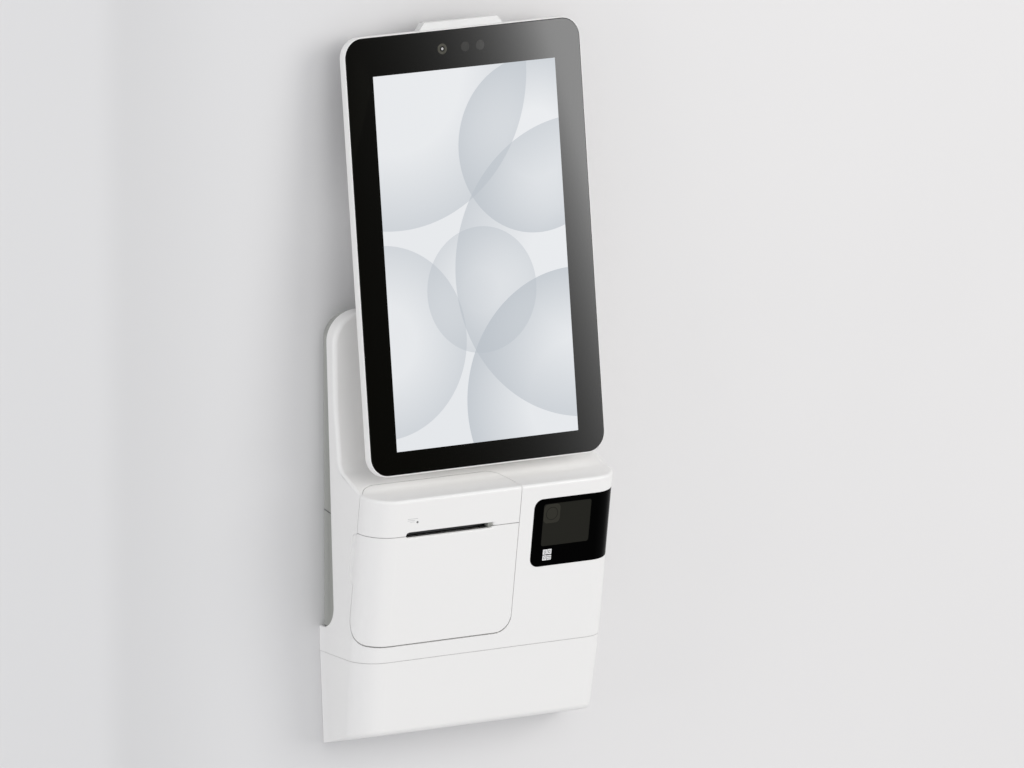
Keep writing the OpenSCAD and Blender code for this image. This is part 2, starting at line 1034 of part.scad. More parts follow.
module lower_cover() {
    color(white)
        difference() {
            union() {
                difference() {
                    lower_form(0, round_path(lower_points, lower_radii(0)));
                    lower_form(wall, lower_inner_path(wall));
                }
                for (s = [-1, 1])
                    lower_tongue(s);
                intersection() {
                    lower_form(wall / 2, round_path(lower_points, lower_radii(0)));
                    for (s = [-1, 1])
                        block(s * cradle_x - cradle_t / 2, s * cradle_x + cradle_t / 2,
                              cradle_y0, cradle_y1, -bottom_drop, -cradle_drop);
                }
            }
            grommet_place()
                translate([0, 0, -over])
                    cylinder(h = 3 * over, r = grommet_r + running);
        }
}

// A tongue inside each side that reaches up into the shell
module lower_tongue(s) {
    outer = half_w - wall - slide;
    block(min(s * outer, s * (outer - tongue_t)), max(s * outer, s * (outer - tongue_t)),
          tongue_y0, tongue_y1, -seam_drop - tongue_down, -seam_drop + tongue_up);
}

adapter_w = 124;
adapter_y0 = -52;
adapter_y1 = -14;
adapter_h = 32;
adapter_r = 5;
module power_adapter() {
    color(dark)
        translate([0, (adapter_y0 + adapter_y1) / 2, -cradle_drop])
            linear_extrude(adapter_h)
                rounded_rect(adapter_w, adapter_y1 - adapter_y0, adapter_r);
}

module cable_grommet() {
    color(rubber)
        grommet_place() {
            cylinder(h = wall, r = grommet_r);
            translate([0, 0, wall])
                cylinder(h = grommet_flange_t, r = grommet_flange_r);
        }
}

// Tablet
module glass_outline(t) {
    translate([0, glass_rise])
        rounded_rect(glass_w - 2 * t, glass_h - 2 * t, glass_r - t);
}

module back_outline(t) {
    translate([0, -back_drop])
        rounded_rect(back_w - 2 * t, back_h - 2 * t, back_r);
}
back_r = 14;

// The raised back with sloping sides, drawn in by t
module raised_back(t) {
    hull() {
        slab(rim_depth - housing_wall - t, rim_depth - t)
            back_outline(t, $fn = 32);
        slab(back_depth - t - 1, back_depth - t)
            back_outline(t + back_slope, $fn = 32);
    }
}

glass_ledge = 3;
boss_out = 7.2;
boss_up = 2.9;
boss_x = screen_w / 2 + boss_out;
boss_z = screen_h / 2 + boss_up;
boss_r = 4;
lcd_t = 3.4;
lcd_frame_t = 1.2;
lcd_back = glass_t + lcd_t;
frame_back = lcd_back + lcd_frame_t;
rim_inner = rim_depth - housing_wall;
button_z = -100;
button_y = (glass_t + rim_inner) / 2;
button_w = 12;
button_h = 3.2;
button_flange = 0.8;
button_proud = 0.6;
button_flange_t = 1.3;
housing_half = glass_w / 2 + rim;

module button_pill(x0, x1, grow) {
    translate([(x0 + x1) / 2, button_y, button_z])
        along_x(x1 - x0)
            rotate(90)
                pill(button_w + 2 * grow, button_h + 2 * grow);
}

module tablet_housing() {
    color(white)
        tablet_place() {
            difference() {
                union() {
                    slab(0, rim_depth)
                        glass_outline(-rim);
                    raised_back(0);
                }
                slab(-over, glass_t)
                    glass_outline(-fit);
                slab(0, rim_inner)
                    glass_outline(glass_ledge - rim);
                raised_back(housing_wall);
                button_pill(housing_half - over, housing_half + over, fit);
                bracket_plate_holes(bracket_hole_r);
            }
            for (sx = [-1, 1], sz = [-1, 1])
                post(sx * boss_x, sz * boss_z, frame_back, rim_inner, boss_r);
        }
}

module cover_glass() {
    color(glass_black)
        tablet_place()
            slab(0, glass_t)
                glass_outline(0);
}

lcd_border = 6;
module lcd_panel() {
    color("lightsteelblue")
        tablet_place()
            slab(glass_t, lcd_back)
                square([screen_w + 2 * lcd_border, screen_h + 2 * lcd_border], center = true);
}

lcd_frame_edge = 5;
lcd_frame_w = screen_w + 2 * (lcd_border + lcd_frame_edge);
lcd_frame_h = screen_h + 2 * (lcd_border + lcd_frame_edge);
main_w = 140;
main_z0 = -120;
main_z1 = 0;
main_post_h = 3.4;
main_y = frame_back + main_post_h;
main_edge = 6;
module lcd_frame() {
    color(steel)
        tablet_place() {
            slab(lcd_back, frame_back)
                rounded_rect(lcd_frame_w, lcd_frame_h, lcd_frame_edge);
            for (sx = [-1, 1])
                for (z = [main_z0 + main_edge, main_z1 - main_edge])
                    post(sx * (main_w / 2 - main_edge), z, frame_back, main_y, board_post_r);
        }
}

sink_w = 44;
sink_h = 40;
sink_t = 5;
sink_z = -60;
module main_board() {
    color(board_green)
        tablet_place() {
            block(-main_w / 2, main_w / 2, main_y, main_y + board_t, main_z0, main_z1);
            block(-sink_w / 2, sink_w / 2, main_y + board_t, main_y + board_t + sink_t,
                  sink_z - sink_h / 2, sink_z + sink_h / 2);
        }
}

sensor_up = 18.9;
sensor_z = screen_h / 2 + sensor_up;
sensor_x0 = -34;
sensor_x1 = 30;
sensor_half = 5.5;
sensor_t = 1.2;
sensor_front = rim_inner - sensor_t;
camera_x = -22;
camera_half = 4;
camera_base = 3;
camera_lens_r = 3;
depth_xs = [2.4, 18.3];
depth_r = 2.5;
module sensor_board() {
    color(board_green)
        tablet_place()
            block(sensor_x0, sensor_x1, sensor_front, rim_inner,
                  sensor_z - sensor_half, sensor_z + sensor_half);
}

module camera_module() {
    color(dark)
        tablet_place() {
            block(camera_x - camera_half, camera_x + camera_half, sensor_front - camera_base, sensor_front,
                  sensor_z - camera_half, sensor_z + camera_half);
            post(camera_x, sensor_z, glass_t, sensor_front - camera_base, camera_lens_r);
        }
}

module depth_sensors() {
    color(dark)
        tablet_place()
            for (x = depth_xs)
                post(x, sensor_z, glass_t, sensor_front, depth_r);
}

light_half = 45;
light_half_top = 38.5;
light_h = 7.5;
light_y0 = 0.8;
light_y1 = 9.5;
light_base = glass_rise + glass_h / 2 + rim;
module status_light_lens() {
    color("whitesmoke")
        tablet_place()
            slab(light_y0, light_y1)
                polygon([
                    [-light_half, light_base],
                    [light_half, light_base],
                    [light_half_top, light_base + light_h],
                    [-light_half_top, light_base + light_h]]);
}

button_seat = housing_half - glass_ledge;
module power_button() {
    color(pale_grey)
        tablet_place() {
            button_pill(button_seat - slide - button_flange_t, housing_half + button_proud, 0);
            button_pill(button_seat - slide - button_flange_t, button_seat - slide, button_flange);
        }
}

switch_w = 7;
switch_gap = 1.3;
switch_half = 5;
switch_x1 = button_seat - slide - button_flange_t - switch_gap;
module power_switch() {
    color(dark)
        tablet_place()
            block(switch_x1 - switch_w, switch_x1, button_y - switch_half / 2, rim_inner,
                  button_z - switch_half, button_z + switch_half);
}

speaker_x = 70;
speaker_half = 15;
speaker_h = 25;
// Height of the speakers' foot over the screen's lower edge
speaker_rise = 12.1;
speaker_z0 = speaker_rise - screen_h / 2;
speaker_z1 = speaker_z0 + speaker_h;
speaker_t = 12;
speaker_r = 4;
module speakers() {
    color(dark)
        tablet_place()
            for (s = [-1, 1])
                translate([s * (speaker_x - speaker_half), 0, (speaker_z0 + speaker_z1) / 2])
                    slab(back_depth - housing_wall - speaker_t, back_depth - housing_wall)
                        rounded_rect(2 * speaker_half, speaker_z1 - speaker_z0, speaker_r);
}

// Neck
neck_w = 130;
neck_h = 104;
neck_up = 61.1;
neck_drop = screen_h / 2 - neck_up;
neck_r = 14;
neck_reach = 60;
bracket_t = 3;
bracket_half = 45;
bracket_h = 84;
web_x = 41;
bracket_foot_z0 = 36;
bracket_foot_z1 = 120;
module neck_slab(y0, y1) {
    tablet_place()
        translate([0, 0, -neck_drop])
            slab(y0, y1)
                children();
}

module neck_shroud() {
    color(white)
        difference() {
            neck_slab(back_depth, back_depth + neck_reach)
                difference() {
                    rounded_rect(neck_w, neck_h, neck_r);
                    rounded_rect(neck_w - 2 * wall, neck_h - 2 * wall, neck_r - wall);
                }
            along_x(body_w)
                polygon(body_path);
            // Room behind the upper face, so that the shroud ends on it
            block(-half_w, half_w, split_y(0), 2 * plan_reach, -plan_up, plan_up);
        }
}

bracket_path = round_path(inset_path(body_points, body_insets(-bracket_t)), body_radii(-bracket_t));
module bracket_plate_holes(r) {
    for (sx = [-1, 1], sz = [-1, 1])
        post(sx * (bracket_half - bracket_edge), sz * (bracket_h / 2 - bracket_edge) - neck_drop,
             back_depth - over, back_depth + over, r);
}
bracket_edge = 12;
module tablet_bracket() {
    color(steel)
        difference() {
            union() {
                neck_slab(back_depth, back_depth + bracket_t)
                    square([2 * bracket_half, bracket_h], center = true);
                for (s = [-1, 1])
                    neck_slab(back_depth, back_depth + neck_reach)
                        translate([s * web_x, 0])
                            square([bracket_t, bracket_h], center = true);
                intersection() {
                    along_x(2 * bracket_half)
                        polygon(bracket_path);
                    block(-half_w, half_w, -plan_reach, 0, bracket_foot_z0, bracket_foot_z1);
                }
            }
            along_x(body_w)
                polygon(body_path);
            block(-half_w, half_w, split_y(0), 2 * plan_reach, -plan_up, plan_up);
            bracket_holes(bracket_hole_r);
            tablet_place()
                bracket_plate_holes(bracket_hole_r);
        }
}

bracket_head_r = 4.5;
bracket_head_h = 3.5;
module bracket_screws() {
    color(steel)
        for (sx = [-1, 1])
            for (z = bracket_screw_zs)
                translate([sx * bracket_screw_x, upper_face_y(z) - bracket_t, z]) {
                    post(0, 0, -bracket_head_h - bracket_lean, -bracket_lean, bracket_head_r);
                    post(0, 0, -bracket_lean, bracket_t + wall + thread_depth - slide,
                         bracket_screw_r - running);
                }
}
// Room for the slope of the upper face under a screw's head
bracket_lean = 0.6;

// Printer
frame_mid = -slot_left;
frame_x0 = frame_mid - frame_w / 2;
frame_x1 = frame_mid + frame_w / 2;
platen_y = -platen_depth;
platen_z = -platen_drop;
frame_front = -89.8;
frame_top = -43;
frame_step_z = -77;
frame_step_y = -80;
frame_foot_y = -76;
frame_foot_z = -146;
bush_r = 4;
gear_x0 = frame_x1 + frame_t + 2;
gear_t = 5;
gear_x1 = gear_x0 + gear_t;
backlash = 0.12;
idler_angle = -45;
pinion_angle = 30;
function pitch_r(teeth) = gear_m * teeth / 2;
idler_y = platen_y + (pitch_r(platen_teeth) + pitch_r(idler_teeth) + backlash) * cos(idler_angle);
idler_z = platen_z + (pitch_r(platen_teeth) + pitch_r(idler_teeth) + backlash) * sin(idler_angle);
pinion_y = idler_y + (pitch_r(idler_teeth) + pitch_r(pinion_teeth) + backlash) * cos(pinion_angle);
pinion_z = idler_z + (pitch_r(idler_teeth) + pitch_r(pinion_teeth) + backlash) * sin(pinion_angle);
idler_pin_r = 2;
motor_shaft_r = 1;
motor_r = 10.5;
motor_len = 27;
bucket_y = -54;
bucket_z = -112;
bucket_t = 2;
guide_z0 = -74;
guide_z1 = -69;
guide_t = 1.4;
blade_t = 1;
blade_gap = 0.4;
fixed_blade_y = frame_front + 0.3;
moving_blade_y = fixed_blade_y + blade_t + blade_gap;
guide_y = moving_blade_y + blade_t + slide;
fixed_blade_z0 = -51.6;
moving_blade_z0 = -71;
moving_blade_z1 = -57.5;
head_y0 = -86;
head_y1 = -70;
head_z1 = -45;
feed_inset = 21;
feed_x = feed_inset - half_w;
feed_z = -92;
feed_tab_half = 9;
feed_tab_t = 2;
feed_tab_y = -79;
feed_proud = 2.5;
feed_flange = 1.2;
feed_flange_t = 1;
feed_switch_gap = 1.5;
feed_switch_h = 2;
feed_switch_half = 3;

// Tooth outline: flat-topped teeth with straight flanks, thinned for backlash
addendum = 0.8;
dedendum = 1.15;
tooth_half = 0.64;
flank = 0.36;
function tooth_point(r, half, angle, s) =
    let (turned = angle + s * half / r * 180 / PI)
    r * [cos(turned), sin(turned)];
function gear_points(teeth, turn) =
    let (tip = pitch_r(teeth) + addendum * gear_m, root = pitch_r(teeth) - dedendum * gear_m)
    let (tip_half = (tooth_half - addendum * flank) * gear_m)
    let (root_half = (tooth_half + dedendum * flank) * gear_m)
    [for (i = [0 : teeth - 1])
        let (angle = turn + i * 360 / teeth)
        each [
            tooth_point(root, root_half, angle, -1),
            tooth_point(tip, tip_half, angle, -1),
            tooth_point(tip, tip_half, angle, 1),
            tooth_point(root, root_half, angle, 1)]];

module gear(teeth, turn, y, z, bore) {
    translate([(gear_x0 + gear_x1) / 2, y, z])
        along_x(gear_t)
            difference() {
                polygon(gear_points(teeth, turn));
                circle(bore);
            }
}

// Turns that bring the teeth into mesh
idler_turn = idler_angle + 180 + 180 / idler_teeth;
idler_shift = (idler_turn - pinion_angle) * idler_teeth / pinion_teeth;
pinion_turn = pinion_angle + 180 - idler_shift + 180 / pinion_teeth;

module side_plate(x0) {
    translate([x0 + frame_t / 2, 0, 0])
        along_x(frame_t)
            difference() {
                polygon([
                    [chassis_y, frame_foot_z],
                    [chassis_y, frame_top],
                    [frame_front, frame_top],
                    [frame_front, frame_step_z],
                    [frame_step_y, frame_step_z],
                    [frame_foot_y, frame_foot_z]]);
                translate([platen_y, platen_z])
                    circle(bush_r + running);
                translate([pinion_y, pinion_z])
                    circle(motor_shaft_r + slide);
            }
}

module printer_frame() {
    color(steel) {
        difference() {
            union() {
                side_plate(frame_x0 - frame_t);
                side_plate(frame_x1);
                block(frame_x0 - frame_t / 2, frame_x1 + frame_t / 2, guide_y, guide_y + guide_t,
                      guide_z0, guide_z1);
                block(feed_x - feed_tab_half, frame_x0 - frame_t / 2, feed_tab_y, feed_tab_y + feed_tab_t,
                      feed_z - feed_tab_half, feed_z + feed_tab_half);
            }
            post(feed_x, feed_z, feed_tab_y - over, feed_tab_y + over, feed_button_r + slide);
        }
        axle(frame_x1, gear_x1 + slide, idler_y, idler_z, idler_pin_r);
    }
}

bucket_open_y = -60;
bucket_open_z = -128;
bucket_top_z = -90;
module paper_bucket() {
    color(dark)
        translate([frame_mid, 0, 0])
            along_x(frame_w)
                difference() {
                    translate([bucket_y, bucket_z])
                        circle(bucket_r + bucket_t);
                    translate([bucket_y, bucket_z])
                        circle(bucket_r);
                    translate([bucket_open_y - plan_reach, bucket_open_z])
                        square(plan_reach);
                    translate([bucket_y - plan_reach / 2, bucket_top_z])
                        square(plan_reach);
                }
}

module print_head() {
    color(pale_grey)
        block(frame_x0, frame_x1, head_y0, head_y1, platen_z + platen_r + slide, head_z1);
}

platen_margin = 4;
module platen_shaft() {
    color(steel)
        axle(frame_x0 - frame_t + fit, gear_x1 + slide, platen_y, platen_z, shaft_r);
}

module platen_sleeve() {
    color(rubber)
        difference() {
            axle(frame_x0 + platen_margin, frame_x1 - platen_margin, platen_y, platen_z, platen_r);
            axle(frame_x0, frame_x1, platen_y, platen_z, shaft_r);
        }
}

bush_proud = 0.5;
module platen_bushes() {
    color(brass)
        for (x0 = [frame_x0 - frame_t, frame_x1 - bush_proud])
            difference() {
                axle(x0, x0 + frame_t + bush_proud, platen_y, platen_z, bush_r);
                axle(x0 - over, x0 + frame_t + over, platen_y, platen_z, shaft_r + running);
            }
}

module platen_gear() {
    color("ivory")
        gear(platen_teeth, idler_angle, platen_y, platen_z, shaft_r);
}

module idler_gear() {
    color("ivory")
        gear(idler_teeth, idler_turn, idler_y, idler_z, idler_pin_r + running);
}

motor_bore = 10;
module feed_motor() {
    color(steel)
        difference() {
            axle(frame_x1 - motor_len, frame_x1, pinion_y, pinion_z, motor_r);
            axle(frame_x1 - motor_bore, frame_x1 + over, pinion_y, pinion_z, motor_shaft_r + running);
        }
}

module motor_pinion() {
    color(brass) {
        gear(pinion_teeth, pinion_turn, pinion_y, pinion_z, motor_shaft_r / 2);
        axle(frame_x1 - motor_bore + slide, gear_x1 + slide, pinion_y, pinion_z, motor_shaft_r);
    }
}

module fixed_blade() {
    color(steel)
        block(frame_x0, frame_x1, fixed_blade_y, fixed_blade_y + blade_t, fixed_blade_z0, frame_top);
}

module moving_blade() {
    color(steel)
        block(frame_x0 + blade_gap, frame_x1 - blade_gap, moving_blade_y, moving_blade_y + blade_t,
              moving_blade_z0, moving_blade_z1);
}

cutter_w = 12;
cutter_y0 = -88;
cutter_y1 = -64;
cutter_z0 = -74;
cutter_z1 = -46;
cutter_motor_y = -74;
cutter_motor_z = -60;
cutter_motor_r = 7;
cutter_motor_len = 13;
module cutter_drive() {
    color(dark) {
        block(frame_x0 - frame_t - cutter_w, frame_x0 - frame_t, cutter_y0, cutter_y1, cutter_z0, cutter_z1);
        axle(frame_x0 - frame_t - cutter_w - cutter_motor_len, frame_x0 - frame_t - cutter_w,
             cutter_motor_y, cutter_motor_z, cutter_motor_r);
    }
}

feed_flange_y = feed_tab_y + feed_tab_t + fit;
module feed_button() {
    color(pale_grey) {
        post(feed_x, feed_z, feed_tab_y - feed_proud, feed_flange_y, feed_button_r);
        post(feed_x, feed_z, feed_flange_y, feed_flange_y + feed_flange_t, feed_button_r + feed_flange);
    }
}

feed_switch_y = feed_flange_y + feed_flange_t + feed_switch_gap;
module feed_switch_board() {
    color(board_green) {
        block(feed_x - feed_switch_half, feed_x + feed_switch_half,
              feed_switch_y, feed_switch_y + feed_switch_h,
              feed_z - feed_switch_half, feed_z + feed_switch_half);
        block(feed_x - feed_tab_half, frame_x0 - frame_t, feed_switch_y + feed_switch_h,
              feed_switch_y + feed_switch_h + board_t, feed_z - feed_tab_half, feed_z + feed_tab_half);
    }
}

tablet_housing();
cover_glass();
lcd_panel();
lcd_frame();
main_board();
sensor_board();
camera_module();
depth_sensors();
status_light_lens();
power_button();
power_switch();
speakers();
tablet_bracket();
bracket_screws();
neck_shroud();
body_shell();
front_cap();
printer_door();
hinge_pins();
strike_plate();
door_magnet();
scanner_window();
scanner_frame();
scan_engine();
indicator_light();
rear_cover_upper();
rear_cover_lower();
lower_cover();
chassis_plate();
wall_plate();
plate_screws();
power_adapter();
cable_grommet();
control_board();
printer_frame();
paper_bucket();
print_head();
platen_shaft();
platen_sleeve();
platen_bushes();
platen_gear();
idler_gear();
feed_motor();
motor_pinion();
fixed_blade();
moving_blade();
cutter_drive();
feed_button();
feed_switch_board();
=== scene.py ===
import math
import bmesh
import bpy
from mathutils import Matrix, Vector


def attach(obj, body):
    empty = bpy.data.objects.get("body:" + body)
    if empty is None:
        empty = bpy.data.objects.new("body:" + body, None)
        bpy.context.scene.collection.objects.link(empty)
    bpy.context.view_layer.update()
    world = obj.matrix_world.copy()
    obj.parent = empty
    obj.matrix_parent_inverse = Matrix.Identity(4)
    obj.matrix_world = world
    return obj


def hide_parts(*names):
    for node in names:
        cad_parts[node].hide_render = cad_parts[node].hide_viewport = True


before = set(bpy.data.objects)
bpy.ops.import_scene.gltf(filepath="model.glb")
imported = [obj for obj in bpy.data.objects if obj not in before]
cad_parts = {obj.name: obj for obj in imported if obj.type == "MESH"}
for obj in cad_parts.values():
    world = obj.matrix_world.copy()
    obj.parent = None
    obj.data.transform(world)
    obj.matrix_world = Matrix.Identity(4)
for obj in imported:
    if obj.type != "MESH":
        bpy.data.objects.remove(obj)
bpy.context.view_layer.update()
scene = bpy.context.scene
print("stage: frame loaded")

# Shapes are drawn in millimetres and turned into metres when they become pieces
mm = 0.001

# Camera, solved from the edges of the object in the photograph
cameraSet = {"place": (-6.41285, -10.76561, 2.62204), "look": (0.5057, 0.8392, -0.2002), "lens": 488.3,
             "sensor": 36.0, "clip": 100}
cameraData = bpy.data.cameras.new("camera")
cameraData.lens = cameraSet["lens"]
cameraData.sensor_width = cameraSet["sensor"]
cameraData.clip_end = cameraSet["clip"]
camera = bpy.data.objects.new("camera", cameraData)
camera.location = cameraSet["place"]
camera.rotation_euler = Vector(cameraSet["look"]).to_track_quat("-Z", "Y").to_euler()
scene.collection.objects.link(camera)
scene.camera = camera
scene.view_settings.view_transform = "Standard"
print("stage: camera")


# Materials
def nodeTree(name):
    material = bpy.data.materials.new(name)
    material.use_nodes = True
    tree = material.node_tree
    tree.nodes.clear()
    output = tree.nodes.new("ShaderNodeOutputMaterial")
    return material, tree, output


def calc(tree, operation, a, b=None, clamp=False):
    node = tree.nodes.new("ShaderNodeMath")
    node.operation = operation
    node.use_clamp = clamp
    for socket, value in zip(node.inputs, (a, b)):
        if value is None:
            continue
        if isinstance(value, (int, float)):
            socket.default_value = value
        else:
            tree.links.new(value, socket)
    return node.outputs[0]


def mixColour(tree, factor, a, b):
    node = tree.nodes.new("ShaderNodeMix")
    node.data_type = "RGBA"
    for socket, value in ((node.inputs["Factor"], factor), (node.inputs[6], a), (node.inputs[7], b)):
        if isinstance(value, (int, float)):
            socket.default_value = value
        elif isinstance(value, tuple):
            socket.default_value = (*value, 1)
        else:
            tree.links.new(value, socket)
    return node.outputs[2]


def noise(tree, vector, scale, detail=2.0):
    node = tree.nodes.new("ShaderNodeTexNoise")
    node.inputs["Scale"].default_value = scale
    node.inputs["Detail"].default_value = detail
    tree.links.new(vector, node.inputs["Vector"])
    return node.outputs["Fac"]


def principled(tree, values):
    node = tree.nodes.new("ShaderNodeBsdfPrincipled")
    for label, value in values.items():
        node.inputs[label].default_value = value
    return node


# Scales of the tone and of the roughness patches, and values of the fine grain
grainSet = {"tone": 9.0, "patch": 60.0, "spread": 0.05, "detail": 3.0, "height": 0.0001, "edgeSamples": 6}


def grainBump(tree, place, grain, depth, edge=0.0):
    bump = tree.nodes.new("ShaderNodeBump")
    bump.inputs["Strength"].default_value = depth
    bump.inputs["Distance"].default_value = grainSet["height"]
    tree.links.new(noise(tree, place, grain, grainSet["detail"]), bump.inputs["Height"])
    if edge:
        bevel = tree.nodes.new("ShaderNodeBevel")
        bevel.samples = grainSet["edgeSamples"]
        bevel.inputs["Radius"].default_value = edge
        tree.links.new(bevel.outputs["Normal"], bump.inputs["Normal"])
    return bump.outputs["Normal"]


# A surface with fine grain, faint changes of tone and softened edges
def softMaterial(name, colour, shade, roughness, grain, depth, edge=0.0, metallic=0.0, coat=0.0, gloss=0.5):
    material, tree, output = nodeTree(name)
    place = tree.nodes.new("ShaderNodeTexCoord").outputs["Object"]
    body = principled(tree, {"Metallic": metallic, "Coat Weight": coat, "Specular IOR Level": gloss})
    tree.links.new(mixColour(tree, noise(tree, place, grainSet["tone"]), colour, shade), body.inputs["Base Color"])
    rough = tree.nodes.new("ShaderNodeMapRange")
    rough.inputs["To Min"].default_value = roughness - grainSet["spread"]
    rough.inputs["To Max"].default_value = roughness + grainSet["spread"]
    tree.links.new(noise(tree, place, grainSet["patch"]), rough.inputs["Value"])
    tree.links.new(rough.outputs["Result"], body.inputs["Roughness"])
    tree.links.new(grainBump(tree, place, grain, depth, edge), body.inputs["Normal"])
    tree.links.new(body.outputs["BSDF"], output.inputs["Surface"])
    return material


# Name, two tones, roughness, scale and depth of the grain, width of softened edges
whitePlastic = softMaterial("whitePlastic", (0.84, 0.834, 0.822), (0.825, 0.819, 0.807), 0.42, 2600, 0.08, 0.0006)
# Tones of the sheets inside the open seams: painted shade of the gaps
seamShade = softMaterial("seamShade", (0.55, 0.548, 0.54), (0.52, 0.518, 0.51), 0.6, 2600, 0.05)
seamShadeDark = softMaterial("seamShadeDark", (0.24, 0.24, 0.235), (0.22, 0.22, 0.215), 0.7, 2600, 0.05)
smokeGrey = softMaterial("smokeGrey", (0.11, 0.11, 0.11), (0.09, 0.09, 0.09), 0.4, 1500, 0.05)
greyPlastic = softMaterial("greyPlastic", (0.33, 0.335, 0.312), (0.31, 0.315, 0.293), 0.5, 2600, 0.12, 0.0006)
darkPlastic = softMaterial("darkPlastic", (0.035, 0.035, 0.038), (0.05, 0.05, 0.052), 0.5, 2200, 0.15, 0.0004)
steelSheet = softMaterial("steelSheet", (0.52, 0.53, 0.54), (0.6, 0.6, 0.6), 0.34, 700, 0.12, 0.0003, metallic=1.0)
darkSteel = softMaterial("darkSteel", (0.2, 0.2, 0.21), (0.26, 0.26, 0.26), 0.38, 700, 0.12, 0.0003, metallic=1.0)
boardGreen = softMaterial("boardGreen", (0.02, 0.11, 0.05), (0.03, 0.14, 0.07), 0.4, 900, 0.2, coat=0.3)
rubberBlack = softMaterial("rubberBlack", (0.02, 0.02, 0.02), (0.03, 0.03, 0.03), 0.75, 3000, 0.3)
brassMetal = softMaterial("brassMetal", (0.72, 0.53, 0.22), (0.6, 0.43, 0.17), 0.3, 900, 0.1, 0.0002, metallic=1.0)
gearPlastic = softMaterial("gearPlastic", (0.72, 0.69, 0.6), (0.66, 0.63, 0.55), 0.45, 1800, 0.1)
lensWhite = softMaterial("lensWhite", (0.70, 0.70, 0.69), (0.67, 0.67, 0.665), 0.4, 1500, 0.05, 0.0006)
windowBlack = softMaterial("windowBlack", (0.0006, 0.0006, 0.0006), (0.001, 0.001, 0.001), 0.12, 400, 0.005,
                           gloss=0.015)
viewGlass = softMaterial("viewGlass", (0.0155, 0.0152, 0.0118), (0.0135, 0.0132, 0.0105), 0.16, 400, 0.005,
                         gloss=0.1)
lensDark = softMaterial("lensDark", (0.033, 0.032, 0.025), (0.025, 0.024, 0.019), 0.2, 400, 0.005, gloss=0.1)
ringBrown = softMaterial("ringBrown", (0.056, 0.054, 0.040), (0.046, 0.044, 0.033), 0.3, 400, 0.005, gloss=0.2)
sensorDark = softMaterial("sensorDark", (0.019, 0.0187, 0.0165), (0.015, 0.0147, 0.013), 0.08, 400, 0.005)
inkWhite = softMaterial("inkWhite", (0.80, 0.80, 0.80), (0.74, 0.74, 0.74), 0.5, 1500, 0.05)
inkGrey = softMaterial("inkGrey", (0.52, 0.52, 0.52), (0.48, 0.48, 0.48), 0.5, 1500, 0.05)
print("stage: materials")


# Shapes
def away(p, q):
    return (q - p).normalized()


def insetPath(points, insets):
    out = []
    count = len(points)
    for i in range(count):
        corner = points[i]
        u = away(points[i - 1], corner)
        v = away(corner, points[(i + 1) % count])
        p = corner + Vector((-u.y, u.x)) * insets[i - 1]
        q = corner + Vector((-v.y, v.x)) * insets[i]
        out.append(p + u * ((q - p).cross(v) / u.cross(v)))
    return out


def roundPath(points, radii, steps=10):
    out = []
    count = len(points)
    for i in range(count):
        corner, r = points[i], radii[i]
        if r <= 0:
            out.append(corner)
            continue
        u = away(corner, points[i - 1])
        v = away(corner, points[(i + 1) % count])
        angle = math.acos(max(-1, min(1, u.dot(v)))) / 2
        centre = corner + (u + v).normalized() * (r / math.sin(angle))
        side = 1 if v.cross(u) > 0 else -1
        start = corner + u * (r / math.tan(angle)) - centre
        begin = math.atan2(start.y, start.x)
        for k in range(steps + 1):
            turn = begin + side * (math.pi - 2 * angle) * k / steps
            out.append(centre + Vector((math.cos(turn), math.sin(turn))) * r)
    return out


def flat(*pairs):
    return [Vector(p) for p in pairs]


def arc(cx, cy, r, a0, a1, steps):
    turns = [math.radians(a0 + (a1 - a0) * k / steps) for k in range(steps + 1)]
    return [Vector((cx + r * math.cos(a), cy + r * math.sin(a))) for a in turns]


def ring(cx, cy, r, steps=40):
    return arc(cx, cy, r, 0, 360 - 360 / steps, steps - 1)


def roundRect(w, h, r, steps=10, cx=0.0, cy=0.0):
    x, y = w / 2 - r, h / 2 - r
    out = []
    for sx, sy, a in ((1, 1, 0), (-1, 1, 90), (-1, -1, 180), (1, -1, 270)):
        out += arc(cx + sx * x, cy + sy * y, r, a, a + 90, steps)
    return out


def pill(cx, cy, w, h, steps=12):
    r = h / 2
    return arc(cx + w / 2 - r, cy, r, -90, 90, steps) + arc(cx - w / 2 + r, cy, r, 90, 270, steps)


# Joins outlines of equal length in turn; place(u, v, depth) puts each corner in space
def skinRings(outlines, place):
    bm = bmesh.new()
    loops = [[bm.verts.new(place(p.x, p.y, depth)) for p in outline] for outline, depth in outlines]
    for one, two in zip(loops, loops[1:]):
        for i in range(len(one)):
            j = (i + 1) % len(one)
            bm.faces.new((one[i], one[j], two[j], two[i]))
    bm.faces.new(list(reversed(loops[0])))
    bm.faces.new(loops[-1])
    bmesh.ops.recalc_face_normals(bm, faces=bm.faces)
    return bm


def stackX(outlines):
    return skinRings(outlines, lambda u, v, d: (d, u, v))


def stackY(outlines):
    return skinRings(outlines, lambda u, v, d: (u, d, v))


def stackZ(outlines):
    return skinRings(outlines, lambda u, v, d: (u, v, d))


def alongX(outline, x0, x1):
    return stackX([(outline, x0), (outline, x1)])


def alongY(outline, y0, y1):
    return stackY([(outline, y0), (outline, y1)])


def alongZ(outline, z0, z1):
    return stackZ([(outline, z0), (outline, z1)])


def rectangle(u0, u1, v0, v1):
    return flat((u0, v0), (u1, v0), (u1, v1), (u0, v1))


def block(x0, x1, y0, y1, z0, z1):
    return alongZ(rectangle(x0, x1, y0, y1), z0, z1)


# A working object, in millimetres, that becomes a piece or is thrown away
def solid(bm, matrix=None):
    if matrix:
        bm.transform(matrix)
    mesh = bpy.data.meshes.new("work")
    bm.to_mesh(mesh)
    bm.free()
    obj = bpy.data.objects.new("work", mesh)
    scene.collection.objects.link(obj)
    return obj


